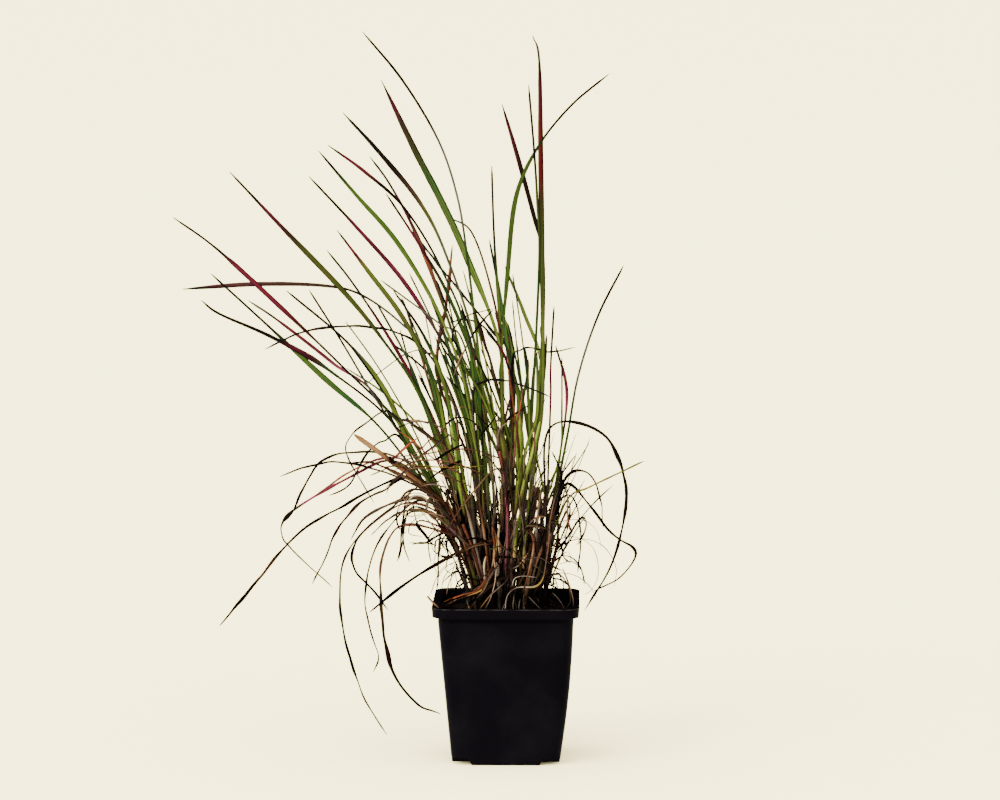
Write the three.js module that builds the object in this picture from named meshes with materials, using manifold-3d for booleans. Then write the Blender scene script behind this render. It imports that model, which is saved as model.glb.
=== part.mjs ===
// Potted little bluestem, an upright ornamental grass in its square nursery pot.
// Units are millimetres, +Z is up, and the origin is the middle of the pot's underside.
// The front of the pot faces -Y, and +X is to the right.

import * as THREE from 'three';
import * as BufferGeometryUtils from 'three/addons/utils/BufferGeometryUtils.js';
import Module from 'manifold-3d';

const wasm = await Module();
wasm.setup();

// Driving dimensions of the pot
const POT_HEIGHT = 98;
const RIM_WIDTH = 90;
const RIM_TAPER = 1;
const RIM_BAND_HEIGHT = 6;
const BAND_BOTTOM = POT_HEIGHT - RIM_BAND_HEIGHT;
const BODY_TOP_WIDTH = 83;
const BASE_WIDTH = 66;
const WALL = 1.3;
const FLOOR = 1.6;
const SIDE_BULGE = 1.6;
const CORNER_SHARE = 0.11;
const CORNER_SEGMENTS = 4;
const BULGE_STEPS = 4;

// The raised corners of the base, the drain holes, and the step line below the rim band
const CORNER_FOOT_HEIGHT = 4.5;
const CORNER_FOOT_TOP = 10;
const CORNER_FOOT_BOTTOM = 13;
const DRAIN_RADIUS = 4;
const DRAIN_REACH = 15;
const STEP_LINE_Z = 89.8;
const STEP_LINE_HEIGHT = 1.1;
const STEP_LINE_DEPTH = 0.5;
const STEP_LINE_LENGTH = 72;

// Driving dimensions of the soil and the crown. A stem stands in a hole a little wider than
// its foot.
const GAP = 0.3;
const SOIL_TOP = 88.5;
const SOIL_RELIEF = 1.1;
const SOIL_GRID = 9;
const CROWN_PITCH = 7.2;
const ROOT_DEPTH = 13;
const HOLE_MARGIN = 0.9;

// Stems: they taper from foot to collar, and spread in depth as they rise
const FOOT_RADIUS = 1.9;
const FOOT_RISE = 3.5;
const COLLAR_RADIUS = 1;
const STEM_SIDES = 5;
const FAN_OUT = 1.2;
const FAN_HEIGHT = 100;

// Leaves: a leaf opens from its collar to its full width, and tapers late
const KEEL = 1.05;
const COLLAR_OPENING = 0.62;
const OPEN_SHARE = 0.3;
const TAPER_POWER = 2.4;
const TIP_KEEL = 0.45;
const TOP_LEAF = 0.96;
const LEAF_SPACING = 0.12;
const EXTRA_STEPS = 2;
const ROLL = 0.45;
const TWIST = 0.7;
const DEPTH_EASE = 1.3;
const SIGHT_SLOPE = 0.1;

// How strands keep clear of each other: the free space they need, the swings in depth that a
// leaf tries, and the ways that a filler tries
const CLEARANCE = 0.35;
const SAMPLE_STEP = 2;
const CUBE = 8;
const BALL_TAPER = 3;
const SWINGS = 17;
const SWING_STEP = 6;
const FILLER_TRIES = 9;
const FILLER_ROLL = 1.5;
const LEAN = 0.35;
const OUTER_REACH = 16;
const THATCH_ROUNDS = 3;

// The most that a joined surface is flattened to save small faces
const FLATNESS = 0.06;

const POT_COLOUR = 0x151216;
const POT_ROUGHNESS = 0.42;
const SOIL_COLOUR = 0x241811;
const SOIL_ROUGHNESS = 0.95;
const PLANT_ROUGHNESS = 0.6;
const COLOURS = {
  green: 0x4f7d22,
  wine: 0x7c1a30,
  olive: 0x5f5c26,
  dusk: 0x2a1a18,
  straw: 0xb98a55,
  russet: 0xa8502c,
  umber: 0x4a2d1b,
  root: 0xa89684,
};

// Seeded random numbers, the same on every run
function makeRandom(seed) {
  let state = seed;
  return () => {
    state = (state + 0x6d2b79f5) >>> 0;
    let mixed = Math.imul(state ^ (state >>> 15), 1 | state);
    mixed = (mixed + Math.imul(mixed ^ (mixed >>> 7), 61 | mixed)) ^ mixed;
    return ((mixed ^ (mixed >>> 14)) >>> 0) / 4294967296;
  };
}

// Solids and meshes
function toSolid(geometry) {
  const bare = geometry.clone();
  bare.deleteAttribute('normal');
  bare.deleteAttribute('uv');
  const merged = BufferGeometryUtils.mergeVertices(bare, 1e-5);
  return new wasm.Manifold(new wasm.Mesh({
    numProp: 3,
    vertProperties: new Float32Array(merged.attributes.position.array),
    triVerts: new Uint32Array(merged.index.array),
  }));
}

function toMesh(name, solid, material) {
  const result = mainBody(solid.simplify(FLATNESS)).getMesh();
  const geometry = new THREE.BufferGeometry();
  geometry.setAttribute('position', new THREE.BufferAttribute(result.vertProperties, 3));
  geometry.setIndex(new THREE.BufferAttribute(result.triVerts, 1));
  geometry.computeVertexNormals();
  const mesh = new THREE.Mesh(geometry, material);
  mesh.name = name;
  return mesh;
}

const joinAll = (solids) => solids.reduce((whole, solid) => whole.add(solid));

// The main body of a joined solid: a hollow that the joining sealed is filled
function mainBody(solid) {
  return solid.decompose().reduce((main, other) => (other.volume() > main.volume() ? other : main));
}

const cutAll = (solid, cutters) => cutters.reduce((rest, cutter) => rest.subtract(cutter), solid);

function finish(colour, roughness) {
  return new THREE.MeshStandardMaterial({ color: colour, roughness, metalness: 0 });
}

// A square block with round corners that widens from its bottom to its top
function taperedBlock(bottomWidth, topWidth, bottomZ, topZ, bulge) {
  const half = topWidth / 2;
  const corner = topWidth * CORNER_SHARE;
  const outline = new THREE.Shape();
  outline.moveTo(-half + corner, -half);
  outline.absarc(half - corner, -half + corner, corner, -Math.PI / 2, 0);
  outline.absarc(half - corner, half - corner, corner, 0, Math.PI / 2);
  outline.absarc(-half + corner, half - corner, corner, Math.PI / 2, Math.PI);
  outline.absarc(-half + corner, -half + corner, corner, Math.PI, Math.PI * 1.5);
  const height = topZ - bottomZ;
  const block = new THREE.ExtrudeGeometry(outline, {
    depth: height,
    steps: bulge > 0 ? BULGE_STEPS : 1,
    bevelEnabled: false,
    curveSegments: CORNER_SEGMENTS,
  });
  const place = block.attributes.position;
  for (let i = 0; i < place.count; i += 1) {
    const share = place.getZ(i) / height;
    const scale = THREE.MathUtils.lerp(bottomWidth / topWidth, 1, share);
    const push = place.getX(i) > 0 ? bulge * Math.sin(Math.PI * share) * place.getX(i) / half : 0;
    place.setXYZ(i, place.getX(i) * scale + push, place.getY(i) * scale, place.getZ(i) + bottomZ);
  }
  return toSolid(block);
}

function plainBlock(width, depth, height, x, y, z) {
  const block = new THREE.BoxGeometry(width, depth, height);
  block.translate(x, y, z);
  return toSolid(block);
}

// The raised corners of the base, as four short blocks with slanted sides
function cornerBlocks(margin) {
  const blocks = [];
  for (const sideX of [-1, 1]) {
    for (const sideY of [-1, 1]) {
      const height = CORNER_FOOT_HEIGHT + margin + 1;
      const block = new THREE.CylinderGeometry(
        (CORNER_FOOT_TOP + margin) * Math.SQRT2,
        (CORNER_FOOT_BOTTOM + margin) * Math.SQRT2,
        height, 4, 1,
      );
      block.rotateY(Math.PI / 4);
      block.rotateX(Math.PI / 2);
      const reach = BASE_WIDTH / 2;
      block.translate(sideX * reach, sideY * reach, height / 2 - 1);
      blocks.push(toSolid(block));
    }
  }
  return blocks;
}

function widthAt(z) {
  return THREE.MathUtils.lerp(BASE_WIDTH, BODY_TOP_WIDTH, z / BAND_BOTTOM);
}

function innerBlock(inset, bottomZ, topZ) {
  const bottomWidth = widthAt(bottomZ) - 2 * inset;
  const topWidth = widthAt(topZ) - 2 * inset;
  return taperedBlock(bottomWidth, topWidth, bottomZ, topZ, SIDE_BULGE);
}

function drainHoles() {
  const holes = [];
  for (const x of [-DRAIN_REACH, DRAIN_REACH]) {
    for (const y of [-DRAIN_REACH, DRAIN_REACH]) {
      const hole = new THREE.CylinderGeometry(DRAIN_RADIUS, DRAIN_RADIUS, FLOOR * 4, 10, 1);
      hole.rotateX(Math.PI / 2);
      hole.translate(x, y, 0);
      holes.push(toSolid(hole));
    }
  }
  return holes;
}

function stepLines() {
  const cuts = [];
  const reach = widthAt(STEP_LINE_Z) / 2;
  for (const side of [-1, 1]) {
    const place = side * reach;
    cuts.push(plainBlock(STEP_LINE_LENGTH, 2 * STEP_LINE_DEPTH, STEP_LINE_HEIGHT, 0, place, STEP_LINE_Z));
    cuts.push(plainBlock(2 * STEP_LINE_DEPTH, STEP_LINE_LENGTH, STEP_LINE_HEIGHT, place, 0, STEP_LINE_Z));
  }
  return cuts;
}

// The pot: a thin tapered shell, a proud rim band, a step line below it, and a base with
// raised corners and round drain holes
function makePot() {
  const body = taperedBlock(BASE_WIDTH, BODY_TOP_WIDTH, 0, BAND_BOTTOM, SIDE_BULGE);
  const band = taperedBlock(RIM_WIDTH - RIM_TAPER, RIM_WIDTH, BAND_BOTTOM - 0.01, POT_HEIGHT, 0);
  const hollowTop = POT_HEIGHT + 1;
  const hollow = cutAll(innerBlock(WALL, FLOOR, hollowTop), cornerBlocks(WALL));
  const shell = body.add(band).subtract(hollow);
  const cutters = [...cornerBlocks(0), ...drainHoles(), ...stepLines()];
  return toMesh('pot', cutAll(shell, cutters), finish(POT_COLOUR, POT_ROUGHNESS));
}

// The crown: feet on a staggered grid. Odd rows are shifted by half a pitch.
function crownFoot(column, row) {
  const shift = row % 2 === 0 ? 0 : 0.5;
  return { x: (column + shift) * CROWN_PITCH, y: row * CROWN_PITCH * Math.sqrt(3) / 2 };
}

// A point across and up, as seen from the front, at its depth. The eye is a little above,
// so what lies further back is lower than it looks.
function spot(x, height, depth) {
  return new THREE.Vector3(x, depth, height - depth * SIGHT_SLOPE);
}

function smoothCurve(points) {
  return new THREE.CatmullRomCurve3(points, false, 'catmullrom', 0.5);
}

// A tapered strand along a curve: a cone of few sides, bent so that each of its rings stands
// across the curve. Three sides give a leaf with a flat face and a keel.
function sweep(curve, steps, sides, profile, roll, twist) {
  const cone = new THREE.CylinderGeometry(0, 1, 1, sides, steps);
  const frames = [];
  let side = new THREE.Vector3(Math.cos(roll), Math.sin(roll), 0);
  for (let i = 0; i <= steps; i += 1) {
    const share = i / steps;
    const along = curve.getTangent(share);
    side = side.addScaledVector(along, -side.dot(along)).normalize();
    const turned = side.clone().applyAxisAngle(along, twist * share);
    const out = new THREE.Vector3().crossVectors(turned, along);
    frames.push({ middle: curve.getPoint(share), across: turned, out });
  }
  const place = cone.attributes.position;
  for (let i = 0; i < place.count; i += 1) {
    const share = place.getY(i) + 0.5;
    const frame = frames[Math.round(share * steps)];
    const { halfWidth, halfDepth } = profile(share);
    const shrink = share < 1 ? 1 - share : 1;
    const across = place.getX(i) / shrink * halfWidth;
    const out = place.getZ(i) / shrink * halfDepth;
    const point = frame.middle.clone().addScaledVector(frame.across, across).addScaledVector(frame.out, out);
    place.setXYZ(i, point.x, point.y, point.z);
  }
  return toSolid(cone);
}

// A leaf widens from its collar, keeps its width, and tapers to its tip. Its section is a
// triangle, which is 1.73 times its own radius wide and 1.5 times deep.
function leafProfile(width) {
  return (share) => {
    const opened = Math.sin(Math.min(share / OPEN_SHARE, 1) * Math.PI / 2);
    const opening = THREE.MathUtils.lerp(COLLAR_OPENING, 1, opened);
    const taper = 1 - share ** TAPER_POWER;
    const keel = KEEL * THREE.MathUtils.lerp(TIP_KEEL, 1, taper);
    return { halfWidth: width * opening * taper / Math.sqrt(3), halfDepth: keel / 1.5 };
  };
}

function stemProfile(foot, collar) {
  return (share) => {
    const radius = THREE.MathUtils.lerp(foot, collar, share);
    return { halfWidth: radius, halfDepth: radius };
  };
}

// Everything that grows keeps clear of what is already there. The middle lines are kept as
// small balls, sorted into cubes.
const occupied = new Map();
const cubeKey = (i, j, k) => (i + 500) * 1e6 + (j + 500) * 1e3 + k + 500;

// Small balls along the straight stretches between the rings of a strand
function ballsAlong(curve, steps, radiusAt) {
  const balls = [];
  for (let ring = 0; ring < steps; ring += 1) {
    const low = curve.getPoint(ring / steps);
    const high = curve.getPoint((ring + 1) / steps);
    const count = Math.ceil(low.distanceTo(high) / SAMPLE_STEP);
    for (let i = 0; i < count; i += 1) {
      const share = i / count;
      balls.push({ place: low.clone().lerp(high, share), radius: radiusAt((ring + share) / steps) });
    }
  }
  return balls;
}

function occupy(owner, balls) {
  for (const ball of balls) {
    const { x, y, z } = ball.place;
    const key = cubeKey(Math.floor(x / CUBE), Math.floor(y / CUBE), Math.floor(z / CUBE));
    if (!occupied.has(key)) occupied.set(key, []);
    occupied.get(key).push({ owner, place: ball.place, radius: ball.radius });
  }
}

// The least free space round a row of balls, counted against every other plant part
function freeSpace(owner, balls) {
  let least = CUBE;
  for (const ball of balls) {
    const i = Math.floor(ball.place.x / CUBE);
    const j = Math.floor(ball.place.y / CUBE);
    const k = Math.floor(ball.place.z / CUBE);
    for (let di = -1; di <= 1; di += 1) {
      for (let dj = -1; dj <= 1; dj += 1) {
        for (let dk = -1; dk <= 1; dk += 1) {
          for (const other of occupied.get(cubeKey(i + di, j + dj, k + dk)) ?? []) {
            if (other.owner === owner) continue;
            least = Math.min(least, ball.place.distanceTo(other.place) - ball.radius - other.radius);
          }
        }
      }
    }
    least = Math.min(least, spaceToPot(ball));
  }
  return least;
}

// The free space between a ball and the rim and walls of the pot, or the soil
function spaceToPot({ place, radius }) {
  const reach = Math.max(Math.abs(place.x), Math.abs(place.y));
  const inside = widthAt(BAND_BOTTOM) / 2 - WALL;
  if (reach > inside && place.z < POT_HEIGHT + radius) {
    return Math.max(reach - RIM_WIDTH / 2, place.z - POT_HEIGHT) - radius;
  }
  if (reach > inside) return CUBE;
  const toSoil = place.z - SOIL_TOP - SOIL_RELIEF;
  const toWall = inside - reach + Math.max(place.z - POT_HEIGHT, 0);
  return Math.min(toSoil, toWall) - radius;
}

// One growing thing: a stem on its foot in the crown, with the leaves that are one body with it
const plants = [];
let strandNumber = 0;

function growStem(name, kind, cell, knots) {
  const foot = crownFoot(...cell);
  const points = [
    new THREE.Vector3(foot.x, foot.y, SOIL_TOP - ROOT_DEPTH),
    new THREE.Vector3(foot.x, foot.y, SOIL_TOP + FOOT_RISE),
  ];
  for (const [x, height] of knots) {
    const fan = 1 + FAN_OUT * (height - SOIL_TOP) / FAN_HEIGHT;
    points.push(spot(x, height, foot.y * fan));
  }
  const curve = smoothCurve(points);
  const profile = stemProfile(FOOT_RADIUS, COLLAR_RADIUS);
  const steps = points.length - 1;
  const plant = { name, kind, foot, curve, solids: [sweep(curve, steps, STEM_SIDES, profile, 0, 0)] };
  occupy(name, ballsAlong(curve, steps, (share) => profile(share).halfWidth));
  plants.push(plant);
  return plant;
}

// A leaf keeps its place as seen from the front, and swings in depth until it is clear
function growLeaf(plant, from, [, width, tipDepth, ...points]) {
  strandNumber += 1;
  const dice = makeRandom(strandNumber);
  const roll = ROLL * (2 * dice() - 1);
  const twist = TWIST * (2 * dice() - 1);
  const start = plant.curve.getPoint(from);
  let best = null;
  for (let turn = 0; turn < SWINGS; turn += 1) {
    const swing = SWING_STEP * Math.ceil(turn / 2) * (turn % 2 === 0 ? 1 : -1);
    const path = [start];
    points.forEach(([x, height], i) => {
      const share = ((i + 1) / points.length) ** DEPTH_EASE;
      path.push(spot(x, height, THREE.MathUtils.lerp(start.y, tipDepth + swing, share)));
    });
    const tried = tryStrand(plant, path, points.length + EXTRA_STEPS, width);
    if (best === null || tried.space > best.space) best = tried;
    if (tried.space >= CLEARANCE) break;
  }
  keepStrand(plant, best, roll, twist);
}

function tryStrand(plant, path, steps, width) {
  const curve = smoothCurve(path);
  const balls = ballsAlong(curve, steps, (share) => width / 2 * (1 - share ** BALL_TAPER));
  return { curve, steps, width, balls, space: freeSpace(plant.name, balls) };
}

function keepStrand(plant, { curve, steps, width, balls }, roll, twist) {
  occupy(plant.name, balls);
  plant.solids.push(sweep(curve, steps, 3, leafProfile(width), roll, twist));
}

// The points of a strand that sets off at a heading and a rise, and curls down and round
function wander(start, heading, { rise, length, curl, wave }, count) {
  const points = [start];
  for (let i = 0; i < count; i += 1) {
    const share = (i + 0.5) / count;
    const climb = rise - curl * share;
    const bearing = heading + wave * share;
    const step = new THREE.Vector3(
      Math.cos(climb) * Math.cos(bearing),
      Math.cos(climb) * Math.sin(bearing),
      Math.sin(climb),
    );
    points.push(points[i].clone().addScaledVector(step, length / count));
  }
  return points;
}

function isAbovePot({ x, y, z }) {
  const inside = widthAt(BAND_BOTTOM) / 2 - WALL;
  return z > POT_HEIGHT || Math.max(Math.abs(x), Math.abs(y)) < inside;
}

// A filler strand takes the first of its drawn ways that is clear, and is left out if none is.
// Some sorts head outward from the middle of the crown, others onward with their stem.
function growFiller(plant, sort) {
  strandNumber += 1;
  const dice = makeRandom(strandNumber);
  const draw = ([low, high]) => low + (high - low) * dice();
  for (let turn = 0; turn < FILLER_TRIES; turn += 1) {
    const from = draw(sort.from);
    const start = plant.curve.getPoint(from);
    const along = plant.curve.getTangent(from);
    const outward = Math.atan2(plant.foot.y, plant.foot.x);
    const onward = Math.atan2(along.y, along.x - LEAN);
    const heading = (sort.outward ? outward : onward) + draw(sort.heading);
    const way = {
      rise: draw(sort.rise),
      length: draw(sort.length),
      curl: draw(sort.curl),
      wave: draw(sort.wave),
    };
    const path = wander(start, heading, way, sort.bends);
    const width = draw(sort.width);
    const roll = draw([-FILLER_ROLL, FILLER_ROLL]);
    const tried = tryStrand(plant, path, sort.steps, width);
    if (tried.space >= CLEARANCE && path.every(isAbovePot)) {
      keepStrand(plant, tried, roll, TWIST);
      return;
    }
  }
}

function growStems(rows) {
  for (const [name, cell, knots, leaves] of rows) {
    growStem(name, leaves[0][0], cell, knots);
  }
}

const plantNamed = (name) => plants.find((plant) => plant.name === name);

// The leafy stems: name, cell in the crown, knots of the stem, and its leaves. A leaf has its
// colour, width, depth of its tip, and its points from the stem to the tip.
const LEAFY_STEMS = [
  ['stem_far_left', [-3, 0], [[-31, 130], [-41, 165]], [
    ['wine', 3.2, -20, [-61, 201], [-102, 243], [-136, 276], [-176, 313], [-202, 332]],
    ['green', 3.4, 22, [-65, 188], [-84, 210], [-111, 233], [-151, 270], [-183, 299]],
    ['dusk', 2.8, -44, [-65, 201], [-108, 239], [-142, 259], [-173, 273], [-183, 281]],
    ['wine', 2, 48, [-75, 216], [-108, 244], [-142, 270], [-162, 283]],
  ]],
  ['stem_left', [-2, 0], [[-24, 135], [-31, 165]], [
    ['olive', 3.6, -12, [-53, 223], [-75, 257], [-99, 287], [-139, 329], [-168, 360]],
    ['wine', 3, 34, [-37, 188], [-53, 225], [-75, 263], [-96, 294], [-112, 314]],
  ]],
  ['stem_level', [-3, 1], [[-26, 135], [-34, 175]], [
    ['wine', 2.6, 40, [-51, 249], [-65, 268], [-90, 286], [-114, 292], [-157, 293], [-203, 290]],
    ['umber', 1.8, 12, [-32, 215], [-53, 254], [-84, 266], [-121, 264], [-149, 252]],
    ['umber', 1.6, 60, [-40, 235], [-52, 251], [-67, 248], [-89, 231]],
  ]],
  ['stem_low_left', [-3, -1], [[-27, 130], [-36, 155]], [
    ['green', 3.6, -38, [-59, 194], [-75, 229], [-97, 257], [-132, 287]],
    ['dusk', 1.8, -60, [-59, 191], [-79, 222], [-99, 257], [-117, 287]],
  ]],
  ['stem_fresh_left', [-2, -1], [[-18, 135], [-26, 172]], [
    ['green', 3.2, -50, [-37, 228], [-49, 259], [-67, 287]],
    ['olive', 3.6, -28, [-36, 197], [-44, 233], [-62, 270], [-84, 300], [-102, 324]],
    ['green', 2.2, -72, [-46, 210], [-58, 244], [-76, 279]],
  ]],
  ['stem_wine', [-2, 1], [[-15, 135], [-19, 185]], [
    ['wine', 3, 20, [-25, 231], [-42, 261], [-65, 296], [-93, 328], [-122, 359]],
    ['russet', 2.6, 52, [-25, 230], [-39, 278], [-57, 325], [-73, 355], [-86, 373]],
  ]],
  ['stem_bright', [-1, -2], [[-12, 135], [-16, 180]], [
    ['green', 3.2, -44, [-25, 231], [-41, 275], [-65, 316], [-90, 345], [-112, 371]],
    ['wine', 2.2, -66, [-22, 253], [-38, 299], [-60, 336], [-84, 358], [-105, 373]],
  ]],
  ['stem_dusky', [-1, 0], [[-10, 135], [-13, 190]], [
    ['olive', 3.2, 4, [-19, 253], [-37, 310], [-53, 342], [-78, 373], [-100, 397]],
    ['green', 2.8, -16, [-19, 238], [-35, 284], [-53, 316], [-73, 347]],
  ]],
  ['stem_thin', [-1, -1], [[-6, 140], [-10, 195]], [
    ['dusk', 2.3, -36, [-16, 244], [-24, 312], [-30, 347], [-41, 379], [-62, 414], [-86, 443]],
    ['green', 1.6, -24, [-25, 253], [-41, 268], [-76, 294]],
  ]],
  ['stem_folded', [0, 0], [[-2, 140], [-3, 200]], [
    ['green', 4.8, -8, [-4, 253], [-25, 310], [-40, 343], [-56, 374], [-76, 416]],
  ]],
  ['stem_bent', [-1, 1], [[-3, 140], [-2, 195]], [
    ['wine', 1.8, 30, [-4, 256], [-11, 294], [-22, 325], [-35, 334]],
    ['green', 2.6, 46, [-3, 244], [-8, 318], [-10, 367]],
  ]],
  ['stem_arching', [0, -1], [[1, 140], [-1, 190]], [
    ['green', 3, -30, [-3, 241], [1, 299], [6, 344], [19, 374], [39, 399], [62, 418]],
  ]],
  ['stem_short', [0, 1], [[4, 140], [4, 190]], [
    ['olive', 2.2, 44, [3, 253], [-5, 278]],
    ['umber', 2, 62, [2, 244], [-10, 265], [-38, 299], [-59, 326]],
    ['umber', 1.8, 24, [3, 238], [8, 252], [19, 253], [28, 251], [42, 254]],
  ]],
  ['stem_olive', [1, 1], [[13, 135], [17, 185]], [
    ['olive', 2.4, 58, [22, 238], [10, 276], [-2, 305]],
    ['green', 2, 36, [15, 219], [17, 247]],
  ]],
  ['stem_tallest', [1, -1], [[11, 157], [17, 185]], [
    ['wine', 3.2, -18, [22, 219], [22, 293], [21, 367], [20, 427], [16, 442]],
    ['dusk', 1.6, -48, [20, 300], [19, 342], [17, 374], [14, 410]],
  ]],
  ['stem_upright', [1, 0], [[12, 140], [17, 190]], [
    ['wine', 2.8, 12, [22, 260], [22, 311], [17, 333], [6, 373], [-3, 403]],
  ]],
  ['stem_right', [2, 0], [[20, 135], [26, 172]], [
    ['wine', 1.8, 6, [27, 222], [27, 241], [29, 279]],
    ['green', 1.6, -14, [33, 188], [34, 213], [34, 247]],
  ]],
  ['stem_far_right', [2, 1], [[24, 130], [29, 160]], [
    ['wine', 2, 26, [33, 188], [37, 226], [30, 255]],
    ['dusk', 1.6, 40, [37, 197], [44, 236], [56, 273], [72, 305]],
  ]],
  ['stem_yellow', [1, -2], [[9, 140], [8, 176]], [
    ['green', 2.4, -46, [6, 200], [8, 219], [5, 238]],
    ['olive', 2, -34, [12, 190], [19, 213], [19, 250]],
  ]],
  ['stem_crimson', [0, -2], [[1, 130], [0, 164], [-5, 193]], [
    ['wine', 2, -52, [1, 215], [5, 230], [1, 244]],
    ['umber', 1.8, -38, [-1, 205], [14, 218]],
  ]],
  ['stem_back_left', [-1, 2], [[-14, 135], [-20, 175]], [
    ['green', 3, 84, [-28, 220], [-40, 262], [-52, 292]],
    ['wine', 2.6, 104, [-26, 205], [-34, 228], [-40, 236]],
    ['dusk', 2, 66, [-30, 210], [-50, 238], [-72, 256]],
  ]],
  ['stem_back', [0, 2], [[0, 135], [2, 175]], [
    ['green', 3.2, 72, [2, 230], [-4, 280], [-12, 322]],
    ['olive', 2.8, 98, [4, 215], [2, 250], [-2, 268]],
    ['dusk', 2, 112, [0, 195], [-6, 208], [-10, 204]],
  ]],
  ['stem_back_right', [1, 2], [[11, 135], [16, 170]], [
    ['green', 2.8, 88, [20, 210], [22, 245], [20, 268]],
    ['wine', 2.2, 64, [19, 205], [23, 240], [24, 262]],
  ]],
  ['stem_rear_left', [-1, 3], [[-8, 130], [-14, 165]], [
    ['green', 2.8, 102, [-22, 205], [-34, 235], [-42, 250]],
    ['wine', 2.4, 84, [-18, 210], [-22, 250], [-30, 278]],
  ]],
  ['stem_rear', [0, 3], [[4, 130], [6, 160]], [
    ['olive', 2.8, 110, [8, 195], [8, 214], [6, 222]],
    ['green', 2.4, 90, [8, 210], [12, 238], [10, 255]],
  ]],
];

// The dry stems, with the dead leaves that hang, curl and lie round the pot
const DRY_STEMS = [
  ['dry_stem_left', [-2, -2], [[-24, 130], [-30, 148]], [
    ['straw', 3.2, -48, [-37, 157], [-50, 169], [-62, 178], [-75, 188], [-91, 200]],
    ['russet', 2, -62, [-40, 160], [-58, 172], [-78, 182], [-92, 183]],
    ['umber', 1.6, -34, [-45, 162], [-78, 178], [-102, 183], [-121, 180], [-137, 174]],
    ['dusk', 2.4, -56, [-47, 168], [-65, 173], [-99, 156], [-127, 138], [-152, 108], [-172, 84]],
    ['umber', 2, -74, [-53, 170], [-75, 165], [-90, 156], [-101, 142], [-107, 127], [-115, 110]],
  ]],
  ['dry_stem_back_left', [-2, 2], [[-24, 130], [-38, 165]], [
    ['umber', 1.8, 40, [-68, 185], [-96, 188], [-115, 183], [-127, 166], [-133, 152], [-140, 144]],
    ['wine', 2, 58, [-68, 182], [-93, 175], [-119, 161], [-138, 148], [-142, 136], [-134, 124], [-111, 102]],
    ['umber', 1.6, 28, [-63, 194], [-75, 196], [-85, 190], [-92, 179], [-99, 167], [-111, 161]],
  ]],
  ['dry_stem_front_left', [-2, -3], [[-18, 124], [-26, 145]], [
    ['russet', 2.2, -62, [-56, 158], [-80, 146], [-97, 125], [-100, 100], [-96, 74], [-86, 43], [-71, 18]],
    ['russet', 2.4, -40, [-62, 145], [-75, 125], [-76, 102], [-74, 78], [-68, 54], [-54, 36], [-39, 30]],
    ['straw', 1.8, -84, [-42, 150], [-58, 154], [-70, 149], [-79, 140]],
  ]],
  ['dry_stem_rear_left', [-2, 3], [[-20, 125], [-32, 150]], [
    ['umber', 2, 44, [-56, 165], [-71, 154], [-90, 138], [-97, 125], [-95, 113], [-84, 101], [-75, 88]],
    ['umber', 1.8, 66, [-52, 158], [-70, 146], [-84, 125], [-90, 97], [-86, 72], [-82, 58], [-86, 47]],
    ['straw', 2, 96, [-30, 165], [-38, 160], [-44, 130], [-46, 100]],
  ]],
  ['dry_stem_front', [-1, -3], [[-5, 118], [-7, 138]], [
    ['russet', 1.8, -52, [-22, 131], [-44, 120], [-65, 106], [-82, 92]],
    ['straw', 1.8, -36, [-8, 145], [-4, 153]],
  ]],
  ['dry_stem_pale', [0, -3], [[4, 125], [6, 148]], [
    ['russet', 2, -50, [2, 172], [-6, 179], [-19, 165], [-30, 151], [-35, 141]],
  ]],
  ['dry_stem_hooked', [1, -3], [[14, 112], [17, 130]], [
    ['russet', 2, -36, [17, 137], [13, 142], [10, 138]],
  ]],
  ['dry_stem_right', [2, -2], [[22, 125], [26, 145]], [
    ['dusk', 2.6, -24, [24, 195], [35, 208], [59, 200], [70, 180], [73, 160], [65, 122], [48, 92]],
    ['umber', 1.6, -48, [30, 160], [34, 175], [28, 190]],
  ]],
  ['dry_stem_far_right', [2, -1], [[26, 125], [30, 150]], [
    ['dusk', 2, -6, [37, 170], [51, 157], [66, 138], [80, 128], [70, 112], [54, 103]],
    ['olive', 1.8, -34, [38, 161], [52, 168], [70, 177], [84, 184]],
  ]],
  ['dry_stem_outer_right', [3, 0], [[28, 118], [32, 136]], [
    ['dusk', 1.6, 8, [33, 169], [38, 160], [39, 147], [36, 135]],
    ['dusk', 1.4, -10, [39, 138], [46, 149], [49, 144], [43, 132]],
    ['dusk', 1.4, 22, [36, 125], [45, 119], [48, 106]],
  ]],
  ['dry_stem_back_right', [2, 2], [[20, 125], [26, 145]], [
    ['umber', 2, 92, [34, 160], [42, 158], [46, 135], [44, 110]],
    ['dusk', 1.8, 60, [36, 172], [50, 176], [58, 160], [60, 140]],
  ]],
  ['dry_stem_rear_right', [1, 3], [[12, 122], [16, 145]], [
    ['straw', 2.2, 108, [18, 165], [20, 160], [22, 130], [20, 100]],
    ['umber', 1.8, 96, [10, 170], [4, 172], [-2, 150], [-4, 122]],
  ]],
];

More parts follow.
